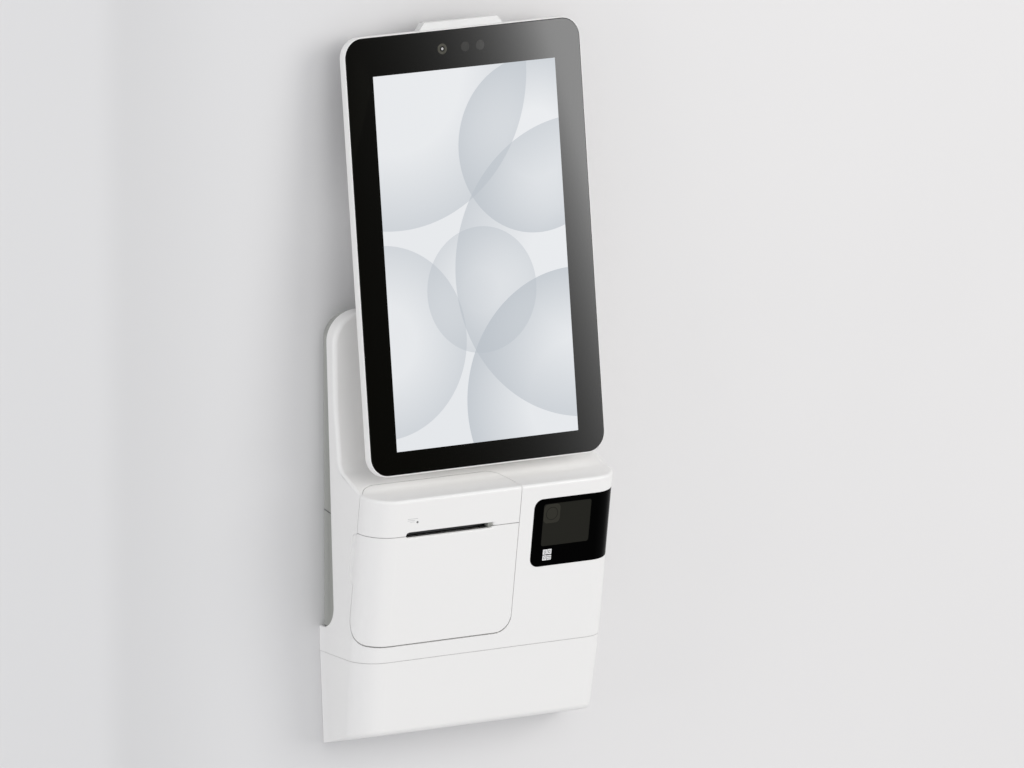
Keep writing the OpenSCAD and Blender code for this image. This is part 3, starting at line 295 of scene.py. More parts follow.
def copyOf(obj):
    twin = bpy.data.objects.new("work", obj.data.copy())
    scene.collection.objects.link(twin)
    return twin


def discard(*objs):
    for obj in objs:
        mesh = obj.data
        bpy.data.objects.remove(obj)
        bpy.data.meshes.remove(mesh)


def bake(obj):
    graph = bpy.context.evaluated_depsgraph_get()
    mesh = bpy.data.meshes.new_from_object(obj.evaluated_get(graph))
    obj.modifiers.clear()
    old, obj.data = obj.data, mesh
    bpy.data.meshes.remove(old)


def cut(obj, tool, operation="DIFFERENCE", keep=False):
    modifier = obj.modifiers.new("cut", "BOOLEAN")
    modifier.operation = operation
    modifier.solver = "EXACT"
    modifier.object = tool
    bake(obj)
    if not keep:
        discard(tool)
    return obj


def within(first, *others):
    for other in others:
        cut(first, other, "INTERSECT")
    return first


def joined(*objs):
    bm = bmesh.new()
    for obj in objs:
        bm.from_mesh(obj.data)
    discard(*objs)
    return solid(bm)


# Distances in millimetres under which corners are merged, limits of flat and sharp angles, weight of large faces
meshSet = {"merge": 0.005, "flatAngle": 0.002, "weld": 0.02, "sharp": 32, "weight": 90}


# Rounds the edges for which pick gives a share of the offset
def bevelEdges(obj, pick, offset, segments):
    bm = bmesh.new()
    bm.from_mesh(obj.data)
    bmesh.ops.remove_doubles(bm, verts=bm.verts, dist=meshSet["merge"])
    bmesh.ops.dissolve_limit(bm, angle_limit=meshSet["flatAngle"], verts=bm.verts, edges=bm.edges)
    bm.normal_update()
    share = bm.edges.layers.float.new("bevel_weight_edge")
    for edge in bm.edges:
        edge[share] = float(pick(edge)) if len(edge.link_faces) == 2 else 0.0
    bm.to_mesh(obj.data)
    bm.free()
    bevel = obj.modifiers.new("bevel", "BEVEL")
    bevel.limit_method = "WEIGHT"
    bevel.width = offset
    bevel.segments = segments
    bevel.use_clamp_overlap = False
    bake(obj)
    return obj


# Sets a shape on each place of a grid
def gridTree():
    tree = bpy.data.node_groups.new("shapeOnGrid", "GeometryNodeTree")
    tree.interface.new_socket("Geometry", in_out="OUTPUT", socket_type="NodeSocketGeometry")
    kinds = {"Shape": "Object", "Material": "Material", "Columns": "Int", "Rows": "Int", "Column Step": "Float",
             "Row Step": "Float"}
    for label, kind in kinds.items():
        tree.interface.new_socket(label, in_out="INPUT", socket_type="NodeSocket" + kind)
    given = tree.nodes.new("NodeGroupInput").outputs
    grid = tree.nodes.new("GeometryNodeMeshGrid")
    tree.links.new(given["Columns"], grid.inputs["Vertices X"])
    tree.links.new(given["Rows"], grid.inputs["Vertices Y"])
    wide = calc(tree, "MULTIPLY", calc(tree, "SUBTRACT", given["Columns"], 1.0), given["Column Step"])
    tall = calc(tree, "MULTIPLY", calc(tree, "SUBTRACT", given["Rows"], 1.0), given["Row Step"])
    tree.links.new(wide, grid.inputs["Size X"])
    tree.links.new(tall, grid.inputs["Size Y"])
    shape = tree.nodes.new("GeometryNodeObjectInfo")
    tree.links.new(given["Shape"], shape.inputs["Object"])
    places = tree.nodes.new("GeometryNodeInstanceOnPoints")
    tree.links.new(grid.outputs["Mesh"], places.inputs["Points"])
    tree.links.new(shape.outputs["Geometry"], places.inputs["Instance"])
    whole = tree.nodes.new("GeometryNodeRealizeInstances")
    tree.links.new(places.outputs["Instances"], whole.inputs["Geometry"])
    finish = tree.nodes.new("GeometryNodeSetMaterial")
    tree.links.new(whole.outputs["Geometry"], finish.inputs["Geometry"])
    tree.links.new(given["Material"], finish.inputs["Material"])
    tree.links.new(finish.outputs["Geometry"], tree.nodes.new("NodeGroupOutput").inputs["Geometry"])
    return tree


shapeOnGrid = gridTree()
upright = Matrix.Rotation(math.pi / 2, 4, "X")


# The grid's columns run along X and its rows up; the shape's own z points out of the face
def onGrid(shape, material, matrix, columns, rows, columnStep, rowStep):
    obj = bpy.data.objects.new("work", bpy.data.meshes.new("work"))
    scene.collection.objects.link(obj)
    modifier = obj.modifiers.new("grid", "NODES")
    modifier.node_group = shapeOnGrid
    values = {"Shape": shape, "Material": material, "Columns": columns, "Rows": rows, "Column Step": columnStep,
              "Row Step": rowStep}
    for item in shapeOnGrid.interface.items_tree:
        if item.in_out == "INPUT":
            modifier[item.identifier] = values[item.name]
    bake(obj)
    discard(shape)
    obj.data.transform(matrix @ upright)
    return obj


# Turns a working object into a finished piece of the scene
def piece(name, obj, material, body="base", nodes=(), angle=meshSet["sharp"], weld=meshSet["weld"]):
    bm = bmesh.new()
    bm.from_mesh(obj.data)
    if weld:
        bmesh.ops.remove_doubles(bm, verts=bm.verts, dist=weld)
        bmesh.ops.dissolve_degenerate(bm, edges=bm.edges, dist=weld)
    bm.transform(Matrix.Scale(mm, 4))
    bm.to_mesh(obj.data)
    bm.free()
    for polygon in obj.data.polygons:
        polygon.use_smooth = True
    obj.data.set_sharp_from_angle(angle=math.radians(angle))
    weight = obj.modifiers.new("weight", "WEIGHTED_NORMAL")
    weight.keep_sharp = True
    weight.weight = meshSet["weight"]
    bake(obj)
    obj.name = name
    obj.data.name = name
    obj.data.materials.clear()
    obj.data.materials.append(material)
    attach(obj, body)
    if nodes:
        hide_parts(*nodes)
    return obj


# Body
bodySet = {
    "half": 132, "frontDepth": 106.2, "frontLean": 9.1, "corner": 26, "wall": 2.5, "seam": 0.5, "over": 5,
    "topEdge": 18.4, "edge": 3.0, "upperEdge": 4.6, "edgeFrom": -12, "edgeTo": 60, "edgeSteps": 6,
    "ridge": (73.6, 14.8), "ridgeR": 30, "hollow": (37, 2.1), "hollowR": 14, "bend": (28.6, 65), "bendR": 130,
    "top": (26.6, 149), "topCorner": 32, "cornerSteps": 18, "splitDepth": 19.3, "splitLean": 2.75,
    "foot": 151, "footR": 21, "seamDrop": 174, "behind": 190, "y": (-200, 20), "z": (-290, 200), "far": 300,
    "crownAside": 0.01, "crownAhead": 0.01, "crownUp": 0.005,
}
half, wall, seam, over, far = (bodySet[k] for k in ("half", "wall", "seam", "over", "far"))
frontLean = math.radians(bodySet["frontLean"])
frontMatrix = Matrix.Translation((0, -bodySet["frontDepth"], 0)) @ Matrix.Rotation(frontLean, 4, "X")


def frontY(z):
    return -(bodySet["frontDepth"] + z * math.tan(frontLean))


def splitY(z):
    return -(bodySet["splitDepth"] - z * math.tan(math.radians(bodySet["splitLean"])))


def planOutline(t):
    r, core, back, steps = bodySet["corner"], half - bodySet["corner"], bodySet["behind"], bodySet["cornerSteps"]
    return flat((half - t, back), (t - half, back)) + arc(-core, r, r - t, 180, 270, steps) \
        + arc(core, r, r - t, 270, 360, steps)


def topOutline(t):
    r, low, steps = bodySet["topCorner"], bodySet["z"][0], bodySet["cornerSteps"]
    core, straight = half - r, bodySet["top"][1] - r
    return flat((t - half, low), (half - t, low)) + arc(core, straight, r - t, 0, 90, steps) \
        + arc(-core, straight, r - t, 90, 180, steps)


# The body's outer form drawn in by t, with round edges along its top
def bodySolid(t):
    s = bodySet
    points = flat(
        (0, -s["seamDrop"]), (0, -s["foot"]), (splitY(-s["foot"]), -s["foot"]),
        (splitY(s["top"][1]), s["top"][1]), (-s["top"][0], s["top"][1]), (-s["bend"][0], s["bend"][1]),
        (-s["hollow"][0], s["hollow"][1]), (-s["ridge"][0], -s["ridge"][1]),
        (frontY(-s["topEdge"]), -s["topEdge"]), (frontY(-s["seamDrop"]), -s["seamDrop"]))
    gone = -over if t else 0
    insets = [gone, gone, gone, t, t, t, t, t, t, gone]
    radii = [0, 0, s["footR"], 0, 0, s["bendR"], s["hollowR"] + t, s["ridgeR"] - t, 0, 0]
    path = roundPath(insetPath(points, insets), radii)
    obj = solid(alongZ(planOutline(t), *s["z"]), frontMatrix)
    within(obj, solid(alongX(path, -half - over, half + over)), solid(alongY(topOutline(t), *s["y"])))

    def crown(face):
        n = face.normal
        return abs(n.x) < s["crownAside"] and n.y < -s["crownAhead"] and n.z > s["crownUp"]

    def edgeShare(edge):
        if crown(edge.link_faces[0]) == crown(edge.link_faces[1]):
            return 0
        z = (edge.verts[0].co.z + edge.verts[1].co.z) / 2
        up = min(1, max(0, (z - s["edgeFrom"]) / (s["edgeTo"] - s["edgeFrom"])))
        return (s["edge"] + up * (s["upperEdge"] - s["edge"]) - t) / (s["upperEdge"] - t)

    return bevelEdges(obj, edgeShare, s["upperEdge"] - t, s["edgeSteps"])


outer = bodySolid(0)
skin = cut(copyOf(outer), bodySolid(wall))
print("stage: body form, faces", len(skin.data.polygons))

# Spaces of the door, the cap, the slot and the scanner window in the front face
doorSet = {"top": 54, "bottom": 161.5, "lean": 3.5, "wing": 29.5, "right": 23.7, "cornerR": 16.5, "wingR": 22,
           "gap": 1.2, "capDeep": 41.5, "capR": 18, "bendR": 20, "bendX": -111, "seamY": (-40, 160)}
slotSet = {"x": -50.7, "z": -53.2, "w": 92.6, "h": 5.3, "deep": 2.2, "left": 0.5, "right": 5.0,
           "over": 0.3, "under": 1.7, "steps": 6, "back": 15, "lip": 1.3, "tunnel": (2, 7.2), "tunnelTop": 60,
           "end": 5.0, "endDeep": 1.5, "endGap": 0.25}
scanSet = {"left": 38.5, "top": 34, "bottom": 100.5, "r": 9, "t": 1.6, "ledge": 3, "fit": 0.2}


def seamBox(z0, z1):
    z = -doorSet["top"] * math.cos(frontLean)
    turn = Matrix.Translation((0, frontY(z), z)) @ Matrix.Rotation(math.radians(doorSet["lean"]), 4, "X")
    return solid(block(-far, far, *doorSet["seamY"], z0, z1), turn)


def doorSpace(gap, foot):
    low, high = foot - doorSet["bottom"], over - doorSet["top"]
    right, depth = doorSet["right"] - gap, doorSet["wing"] - gap
    r, w = doorSet["cornerR"], doorSet["wingR"]
    face = flat((right, high), (-half - over, high), (-half - over, low)) + arc(right - r, low + r, r, 270, 360, 14)
    side = flat((depth, high), (-over, high), (-over, low)) + arc(depth - w, low + w, w, 270, 360, 14)
    obj = solid(alongY(face, -over, depth), frontMatrix)
    return within(obj, solid(alongX(side, -far, far), frontMatrix), seamBox(bodySet["z"][0], -gap / 2))


def capSpace(gap):
    d = doorSet
    right, side, deep, r, bend = (d[k] - gap for k in ("right", "wing", "capDeep", "capR", "bendR"))
    start = math.degrees(math.asin((side - deep + bend) / bend))
    plan = flat((-half - over, side), (-half - over, -over), (right, -over))
    plan += arc(right - r, deep - r, r, 0, 90, 20) + arc(d["bendX"], deep - bend, bend, 90, 180 - start, 10)
    up = bodySet["z"][1]
    return within(solid(alongZ(plan, -d["top"] - over, up), frontMatrix), seamBox(gap / 2, up))


# The paper slot, opening out towards the front in a round lip, most below and to the right
def slotSpace():
    s = slotSet

    def mouth(f):
        return pill(s["x"] + f * (s["right"] - s["left"]) / 2, s["z"] + f * (s["over"] - s["under"]) / 2,
                    s["w"] + f * (s["left"] + s["right"]), s["h"] + f * (s["over"] + s["under"]))

    turns = [k * math.pi / 2 / s["steps"] for k in range(s["steps"] + 1)]
    lips = [(mouth(1 - math.sin(a)), s["deep"] * (1 - math.cos(a))) for a in turns]
    return solid(stackY([(mouth(1), -over)] + lips + [(mouth(0), s["back"])]), frontMatrix)


def scanSpace(t):
    s = scanSet
    x, z0, z1, r = s["left"] + t, t - s["bottom"], -s["top"] - t, s["r"]
    shape = flat((half + over, z0), (half + over, z1)) + arc(x + r, z1 - r, r, 90, 180, 12) \
        + arc(x + r, z0 + r, r, 180, 270, 12)
    return solid(alongY(shape, -over, doorSet["wing"] - t), frontMatrix)


# Hinge of the printer door: arms on the door, ears on the shell
hingeSet = {"back": 12, "drop": 168, "armX": (-110, 12), "armW": 6, "earT": 3, "earFront": -11, "hub": 5,
            "swing": 17.6, "front": 4.5, "rear": 11, "top": 26, "leg": 16, "gap": 0.3, "legEnd": -10.6}
g = hingeSet
hingeMatrix = Matrix.Translation((0, frontY(-g["drop"]) + g["back"], -g["drop"]))
reach = g["armW"] / 2 + g["gap"] + g["earT"] / 2
earX = (g["armX"][0] + reach, g["armX"][1] - reach)
earPath = flat((g["earFront"], -g["hub"]), (0, -g["hub"])) + arc(0, 0, g["hub"], -80, 80, 12)
earPath += flat((0, g["hub"]), (g["earFront"], g["hub"]))
ears = [solid(alongX(earPath, x - g["earT"] / 2, x + g["earT"] / 2), hingeMatrix) for x in earX]
armStart = 180 - math.degrees(math.asin(g["leg"] / g["swing"]))
armEnd = math.degrees(math.acos(g["front"] / g["swing"]))
armPath = flat((0, -g["hub"]), (g["rear"], -g["hub"]), (g["rear"], g["top"]), (g["legEnd"], g["top"]))
armPath += flat((g["legEnd"], g["leg"])) + arc(0, 0, g["swing"], armStart, armEnd, 10)
armPath += flat((g["front"], g["leg"]), (g["front"], g["hub"]), (0, g["hub"])) + arc(0, 0, g["hub"], 100, 260, 14)
arms = [solid(alongX(armPath, x - g["armW"] / 2, x + g["armW"] / 2), hingeMatrix) for x in g["armX"]]

# The crown of the shell and of the cover behind it, a little flatter than in the solids
crownSet = {"from": 112, "top": 149, "drop": 4}


def crowned(obj):
    s = crownSet
    for vertex in obj.data.vertices:
        rise = vertex.co.z - s["from"]
        if rise > 0:
            vertex.co.z -= s["drop"] * rise / (s["top"] - s["from"])
    return obj


# Shell of the body
shellSet = {"magnetArm": (11, 32, 5, 8, -73, -65), "magnetPost": (26.2, 32, 1, 8, -73, -65),
            "postR": 3, "postY": (1, 22), "postX": (41, 111), "postZ": (-156, -120),
            "scoopDrop": 83, "scoopTall": 50, "scoopR": 8,
            "scoopDish": ((1, 0), (0.93, 0.9), (0.8, 1.55), (0.55, 1.95), (0.05, 2.1))}
s = shellSet
magnetArm = solid(block(*s["magnetArm"]), frontMatrix)
magnetPost = solid(block(*s["magnetPost"]), frontMatrix)
posts = [solid(alongY(ring(x, z, s["postR"]), *s["postY"]), frontMatrix) for x in s["postX"] for z in s["postZ"]]
shell = copyOf(skin)
cut(shell, doorSpace(0, 0))
cut(shell, capSpace(0))
seat = bodySolid(scanSet["t"])
cut(shell, cut(scanSpace(0), seat, keep=True))
cut(shell, scanSpace(scanSet["ledge"]))
lift = s["scoopTall"] / 2 - s["scoopR"]


def scoopRing(share, deep):
    y, r = doorSet["wing"], shellSet["scoopR"] * share
    ends = ((lift - shellSet["scoopDrop"], 0), (-lift - shellSet["scoopDrop"], 180))
    return sum([arc(y, z, r, turn, turn + 180, 14) for z, turn in ends], []), -half + deep


dish = [scoopRing(1, -over)] + [scoopRing(*step) for step in s["scoopDish"]]
cut(shell, solid(stackX(dish), frontMatrix))
shell = joined(crowned(shell), *ears, magnetArm, magnetPost, *posts)
piece("bodyShell", shell, whitePlastic, "base", ["body_shell"])

# Upper rear cover, from the solid's own mesh
cover = copyOf(bpy.data.objects["rear_cover_upper"])
cover.data.transform(Matrix.Scale(1 / mm, 4))
piece("rearCoverUpper", crowned(cover), greyPlastic, "base", ["rear_cover_upper"])

# Cap above the paper slot, with the slot's tunnel behind it and a grey stop at the slot's right end, whose grey is
# painted shade of the slot's white end
capSet = {"led": (-86.3, -41.1, 1.05), "ledDeep": 12}
cap = within(copyOf(skin), capSpace(seam))
cut(cap, slotSpace())
cut(cap, solid(alongY(ring(*capSet["led"], 24), -over, capSet["ledDeep"]), frontMatrix))


def slotBar(grow, y0, y1):
    s = slotSet
    return solid(alongY(pill(s["x"], s["z"], s["w"] + 2 * grow, s["h"] + 2 * grow), y0, y1), frontMatrix)


s = slotSet
tunnel = cut(slotBar(s["lip"], *s["tunnel"]), slotSpace())
within(tunnel, seamBox(seam / 2, s["tunnelTop"]))
# The grey stop stands for the white slot end in shade: painted shade
slotRight = s["x"] + s["w"] / 2
endRoom = block(slotRight - s["end"], slotRight, -over, s["tunnelTop"], s["z"] - over, s["z"] + over)
slotEnd = within(slotBar(-s["endGap"], s["endDeep"], s["tunnel"][1]), solid(endRoom, frontMatrix))
piece("slotEnd", slotEnd, greyPlastic, "base")
piece("frontCap", joined(cap, tunnel), whitePlastic, "base", ["front_cap"])

# Printer door
door = within(copyOf(skin), doorSpace(seam, doorSet["gap"]))
cut(door, slotSpace())
piece("printerDoor", joined(door, *arms), whitePlastic, "door", ["printer_door"])

# Strips just behind the open seams, in grey: painted shade of the gaps
stripSet = {"top": 0.8, "under": 2.2, "clear": 0.04, "doorRoom": (-20, 60, -300, -58), "doorFoot": -3, "low": 0.3,
            "lowY": (-200, -1), "crown": 0.1, "crownX": -116, "crownRoom": (-300, 60, -17, 60)}
s = stripSet
sheet = cut(bodySolid(s["top"]), bodySolid(s["under"]))
capGap = cut(capSpace(s["clear"]), capSpace(seam - s["clear"]))
capStrip = within(copyOf(capGap), copyOf(sheet))
cut(capStrip, slotSpace())
doorRoom = solid(block(-far, far, *s["doorRoom"]), frontMatrix)
doorStrip = within(copyOf(sheet), doorSpace(s["clear"], 0), doorRoom)
cut(doorStrip, doorSpace(seam - s["clear"], s["doorFoot"]))
lowSheet = cut(bodySolid(s["low"]), bodySolid(s["under"]))
seamLow, seamHigh = -bodySet["seamDrop"] - seam + s["clear"], -bodySet["seamDrop"] - s["clear"]
lowStrip = within(lowSheet, solid(block(-far, far, *s["lowY"], seamLow, seamHigh)))
discard(sheet)
piece("seamStrips", joined(capStrip, doorStrip, lowStrip), seamShade, "base")
# Dark sheet just under the cap's seam on the top: painted shade of that gap
crownSheet = cut(bodySolid(s["crown"]), bodySolid(s["top"]))
within(capGap, solid(block(s["crownX"], far, *s["crownRoom"])), crownSheet)
piece("crownSeam", capGap, seamShadeDark, "base")

# Scanner window with its clear view area, the lens behind it and a code-like sign
viewSet = {"x": (49, 100), "z": (-80.7, -39.5), "r": 2.5, "sink": 0.15, "deep": 0.7, "lensPlace": (58.2, -49.3),
           "plate": (17.5, 18.5, 4.5), "plateLift": 0.04, "lensR": 6.4, "lensLine": 0.7, "lensLift": 0.06}
s = viewSet
(x0, x1), (z0, z1) = s["x"], s["z"]
view = roundRect(x1 - x0, z1 - z0, s["r"], 6, (x0 + x1) / 2, (z0 + z1) / 2)
pane = cut(within(copyOf(outer), scanSpace(scanSet["fit"])), seat)
cut(pane, solid(alongY(view, -over, s["deep"]), frontMatrix))
piece("scannerWindow", pane, windowBlack, "base", ["scanner_window"])
piece("scannerView", solid(alongY(view, s["sink"], s["deep"]), frontMatrix), viewGlass)
lensPlate = alongY(roundRect(*s["plate"], 8, *s["lensPlace"]), s["sink"] - s["plateLift"], s["deep"])
piece("lensPlate", solid(lensPlate, frontMatrix), lensDark)
lensRing = solid(alongY(ring(*s["lensPlace"], s["lensR"]), s["sink"] - s["lensLift"], s["deep"]), frontMatrix)
cut(lensRing, solid(alongY(ring(*s["lensPlace"], s["lensR"] - s["lensLine"]), -over, over), frontMatrix))
piece("lensRing", lensRing, viewGlass)

# Sign under the view area: three corner marks and a block of cells, as on any printed code
signSet = {"x": (51.9, 61.0), "z": (-94.8, -84.2), "gap": 0.8, "wide": 4.35, "line": 1.1, "dot": (1.3, 1.9),
           "r": 0.15, "cell": 1.35, "cellR": 0.2, "cells": (3, 3), "step": (1.5, 1.7), "proud": 0.05, "sunk": 0.2}
s = signSet
tall = (s["z"][1] - s["z"][0] - s["gap"]) / 2
upZ, lowZ = s["z"][1] - tall / 2, s["z"][0] + tall / 2
leftX, rightX = s["x"][0] + s["wide"] / 2, s["x"][1] - s["wide"] / 2


def printed(w, h, x, z):
    s = signSet
    return solid(alongY(roundRect(w, h, s["r"], 4, x, z), -s["proud"], s["sunk"]), frontMatrix)


def cornerMark(x, z):
    s = signSet
    hole = roundRect(s["wide"] - 2 * s["line"], tall - 2 * s["line"], s["r"], 4, x, z)
    mark = cut(printed(s["wide"], tall, x, z), solid(alongY(hole, -over, over), frontMatrix))
    return joined(mark, printed(*s["dot"], x, z))


marks = [cornerMark(x, z) for x, z in ((leftX, upZ), (rightX, upZ), (leftX, lowZ))]
cell = solid(alongZ(roundRect(s["cell"], s["cell"], s["cellR"], 2), -s["sunk"], s["proud"]))
marks.append(onGrid(cell, inkWhite, frontMatrix @ Matrix.Translation((rightX, 0, lowZ)), *s["cells"], *s["step"]))
piece("codeSign", joined(*marks), inkWhite, weld=0)

# Paper mark beside the indicator: strokes that grow shorter
paperMarkSet = {"x": -97.0, "z": -37.4, "strokes": (11.0, 8.0, 4.5), "shift": (0, 0, 3.0), "step": 1.5,
                "thick": 0.42, "proud": 0.02, "sunk": 0.3}
s = paperMarkSet
strokes = []
for k, (length, shift) in enumerate(zip(s["strokes"], s["shift"])):
    stroke = pill(s["x"] + shift + length / 2, s["z"] - k * s["step"], length, s["thick"], 5)
    strokes.append(solid(alongY(stroke, -s["proud"], s["sunk"]), frontMatrix))
piece("paperMark", joined(*strokes), inkGrey, weld=0)
discard(skin, outer)
print("stage: body pieces")

# Lower cover, its sides drawn in downwards
lowerSet = {"drop": 262, "chin": 245, "taper": 2.3, "edge": 4.5, "edgeSteps": 6, "soleDown": -0.8, "edgeFront": -0.5,
            "tongueX": (127, 129.2), "tongueY": (-48, -22), "tongueZ": (-192, -164)}


def lowerSolid(t):
    s = lowerSet
    top = -bodySet["seamDrop"] - seam
    gone = -over if t else 0
    points = flat((0, -s["drop"]), (0, top), (frontY(top), top), (frontY(-s["chin"]), -s["chin"]))
    obj = solid(alongX(insetPath(points, [gone, gone, t, t]), -half - over, half + over))
    along = bodySet["seamDrop"] / math.cos(frontLean)
    for side in (1, -1):
        pivot = Matrix.Translation((side * half, 0, -along))
        turn = pivot @ Matrix.Rotation(math.radians(side * s["taper"]), 4, "Y") @ pivot.inverted()
        within(obj, solid(alongZ(planOutline(t), *bodySet["z"]), frontMatrix @ turn))

    def soleEdge(edge):
        first, second = (face.normal.z < s["soleDown"] for face in edge.link_faces)
        return first != second and max(v.co.y for v in edge.verts) < s["edgeFront"]

    return bevelEdges(obj, soleEdge, s["edge"] - t, s["edgeSteps"])


s = lowerSet
lower = cut(lowerSolid(0), lowerSolid(wall))
tongues = []
for side in (-1, 1):
    x0, x1 = sorted((side * s["tongueX"][0], side * s["tongueX"][1]))
    tongues.append(solid(block(x0, x1, *s["tongueY"], *s["tongueZ"])))
piece("lowerCover", joined(lower, *tongues), whitePlastic, "base", ["lower_cover"])
print("stage: lower cover")

# Dark sheet in the gap between the two rear covers, seen on their sides: painted shade of the gap
rearSeamSet = {"inner": 120, "wall": (127.02, -0.6), "split": (131.57, -19.3), "z": (-42.5, -41.5)}
s = rearSeamSet
rearGaps = []
for side in (-1, 1):
    plan = [(s["inner"], s["split"][1]), s["split"], s["wall"], (s["inner"], s["wall"][1])]
    rearGaps.append(solid(alongZ(flat(*((side * x, y) for x, y in plan[::side])), *s["z"])))
piece("rearSeam", joined(*rearGaps), darkPlastic)

# Tablet
tabletSet = {
    "screen": (193.6, 344.2), "depth": 60, "rise": 193.2, "tilt": 7.0, "glass": (248.9, 400.8), "lift": 7.45,
    "glassR": 18, "glassEdge": ((0.55, 0), (0.3, 0.06), (0.12, 0.2), (0, 0.5), (0, 2)), "wall": 2.2,
    "ledge": 1.8, "ledgeDeep": 2.0, "lip": ((-0.15, 2.0), (-0.15, 0.35), (-0.4, 0.1), (-0.7, 0.02), (-0.95, 0.15)),
    "rim": 1.2, "rimFront": 0.55, "rimDepth": 10.6, "rimR": 3, "rimSteps": 6, "back": (190, 300), "backDrop": -32,
    "backR": 14, "backShrink": 0.2, "backLeastR": 5, "backDepth": 28, "backInset": 17, "innerInsets": (17, 14),
    "backSteps": ((-4, 0), (-2, 0.3), (-0.5, 1.2), (12, 15), (13.2, 16.4), (15, 17.2)), "sharp": 38,
    "button": (12.4, 3.6), "buttonPlace": (-100, 5.2), "buttonX": (118, 132),
}
s = tabletSet
tabletMatrix = Matrix.Translation((0, -s["depth"], s["rise"])) @ Matrix.Rotation(math.radians(-s["tilt"]), 4, "X")


def glassRing(inset, y):
    s = tabletSet
    w, h = s["glass"]
    return roundRect(w - 2 * inset, h - 2 * inset, s["glassR"] - inset, 12, 0, s["lift"]), y


def backRing(inset, y):
    s = tabletSet
    w, h = s["back"]
    r = max(s["backR"] - inset * s["backShrink"], s["backLeastR"])
    return roundRect(w - 2 * inset, h - 2 * inset, r, 12, 0, s["backDrop"]), y


rim, rimR, depth, deep, skinT = (s[k] for k in ("rim", "rimR", "rimDepth", "backDepth", "wall"))
quarter = [k * math.pi / (2 * s["rimSteps"]) for k in range(s["rimSteps"] + 1)]
rings = [backRing(inset, deep - skinT) for inset in s["innerInsets"]]
rings += [backRing(skinT, depth), backRing(skinT, depth - skinT)]
rings += [glassRing(s["ledge"], depth - skinT), glassRing(s["ledge"], s["ledgeDeep"])]
rings += [glassRing(*step) for step in s["lip"]] + [glassRing(-rim, s["rimFront"])]
rings += [glassRing(-rim + (rimR - rimR * math.cos(a)), depth - rimR + rimR * math.sin(a)) for a in quarter]
rings += [backRing(inset, depth + y) for inset, y in s["backSteps"]] + [backRing(s["backInset"], deep)]
housing = solid(stackY(rings), tabletMatrix)
buttonHole = [Vector((p.y, p.x)) for p in pill(*s["buttonPlace"], *s["button"])]
cut(housing, solid(alongX(buttonHole, *s["buttonX"]), tabletMatrix))

# Vents and screws of the tablet's back
backSet = {"vent": (24, 2.4), "ventX": 52, "ventZ": 62, "ventRows": 9, "ventStep": 5.2, "ventDeep": 1.3,
           "screwX": 70, "screwZ": 112, "wellR": 4.0, "wellDeep": 1.6, "headR": 3.3, "headSunk": 0.3,
           "headDome": ((1, -0.8), (0.8, -0.45), (0.4, -0.3)), "slotW": 0.9, "slotL": 4.2, "slotZ": (-1.1, 1)}
b = backSet
backPlace = tabletMatrix @ Matrix.Translation((0, deep, s["backDrop"])) @ Matrix.Rotation(math.pi, 4, "Z")


def backCut(outline, into, x, z, *grid):
    shape = solid(alongZ(outline, -into, over))
    cut(housing, onGrid(shape, whitePlastic, backPlace @ Matrix.Translation((x, 0, z)), *grid))


for side in (-1, 1):
    backCut(pill(0, 0, *b["vent"]), b["ventDeep"], side * b["ventX"], b["ventZ"], 1, b["ventRows"], 0, b["ventStep"])
screwGrid = (2, 2, 2 * b["screwX"], 2 * b["screwZ"])
backCut(ring(0, 0, b["wellR"], 28), b["wellDeep"], 0, 0, *screwGrid)
piece("tabletHousing", housing, whitePlastic, "base", ["tablet_housing"], angle=s["sharp"], weld=0)
dome = [(1, -b["wellDeep"] - b["headSunk"]), *b["headDome"]]
head = solid(stackZ([(ring(0, 0, b["headR"] * share), z) for share, z in dome]))
for w, h in ((b["slotL"], b["slotW"]), (b["slotW"], b["slotL"])):
    cut(head, solid(block(-w / 2, w / 2, -h / 2, h / 2, *b["slotZ"])))
screws = onGrid(head, steelSheet, backPlace, *screwGrid)
piece("housingScrews", screws, steelSheet, weld=0)
print("stage: tablet housing")


# Glass with the screen behind it: pale overlapping discs, each shaded inside its rim.
# A disc is given by its centre, its radius, and the width and strength of its shade
screenSet = {
    "low": (0.76, 0.78, 0.805), "high": (0.785, 0.80, 0.82), "shade": (0.46, 0.50, 0.545),
    "discs": ((1.02, 0.16, 0.62, 0.34, 0.75), (1.10, 0.78, 0.72, 0.40, 0.60), (0.10, 1.78, 0.74, 0.36, 0.55),
              (0.86, 1.38, 0.42, 0.26, 0.65), (-0.04, 0.52, 0.46, 0.28, 0.50), (0.52, 0.72, 0.30, 0.20, 0.45)),
    "border": {"Base Color": (0.0028, 0.0027, 0.002, 1), "Roughness": 0.05}, "borderGrain": (500.0, 0.01),
    "lit": {"Base Color": (0.01, 0.01, 0.01, 1), "Roughness": 0.25, "Specular IOR Level": 0.15,
            "Emission Strength": 1.0},
}


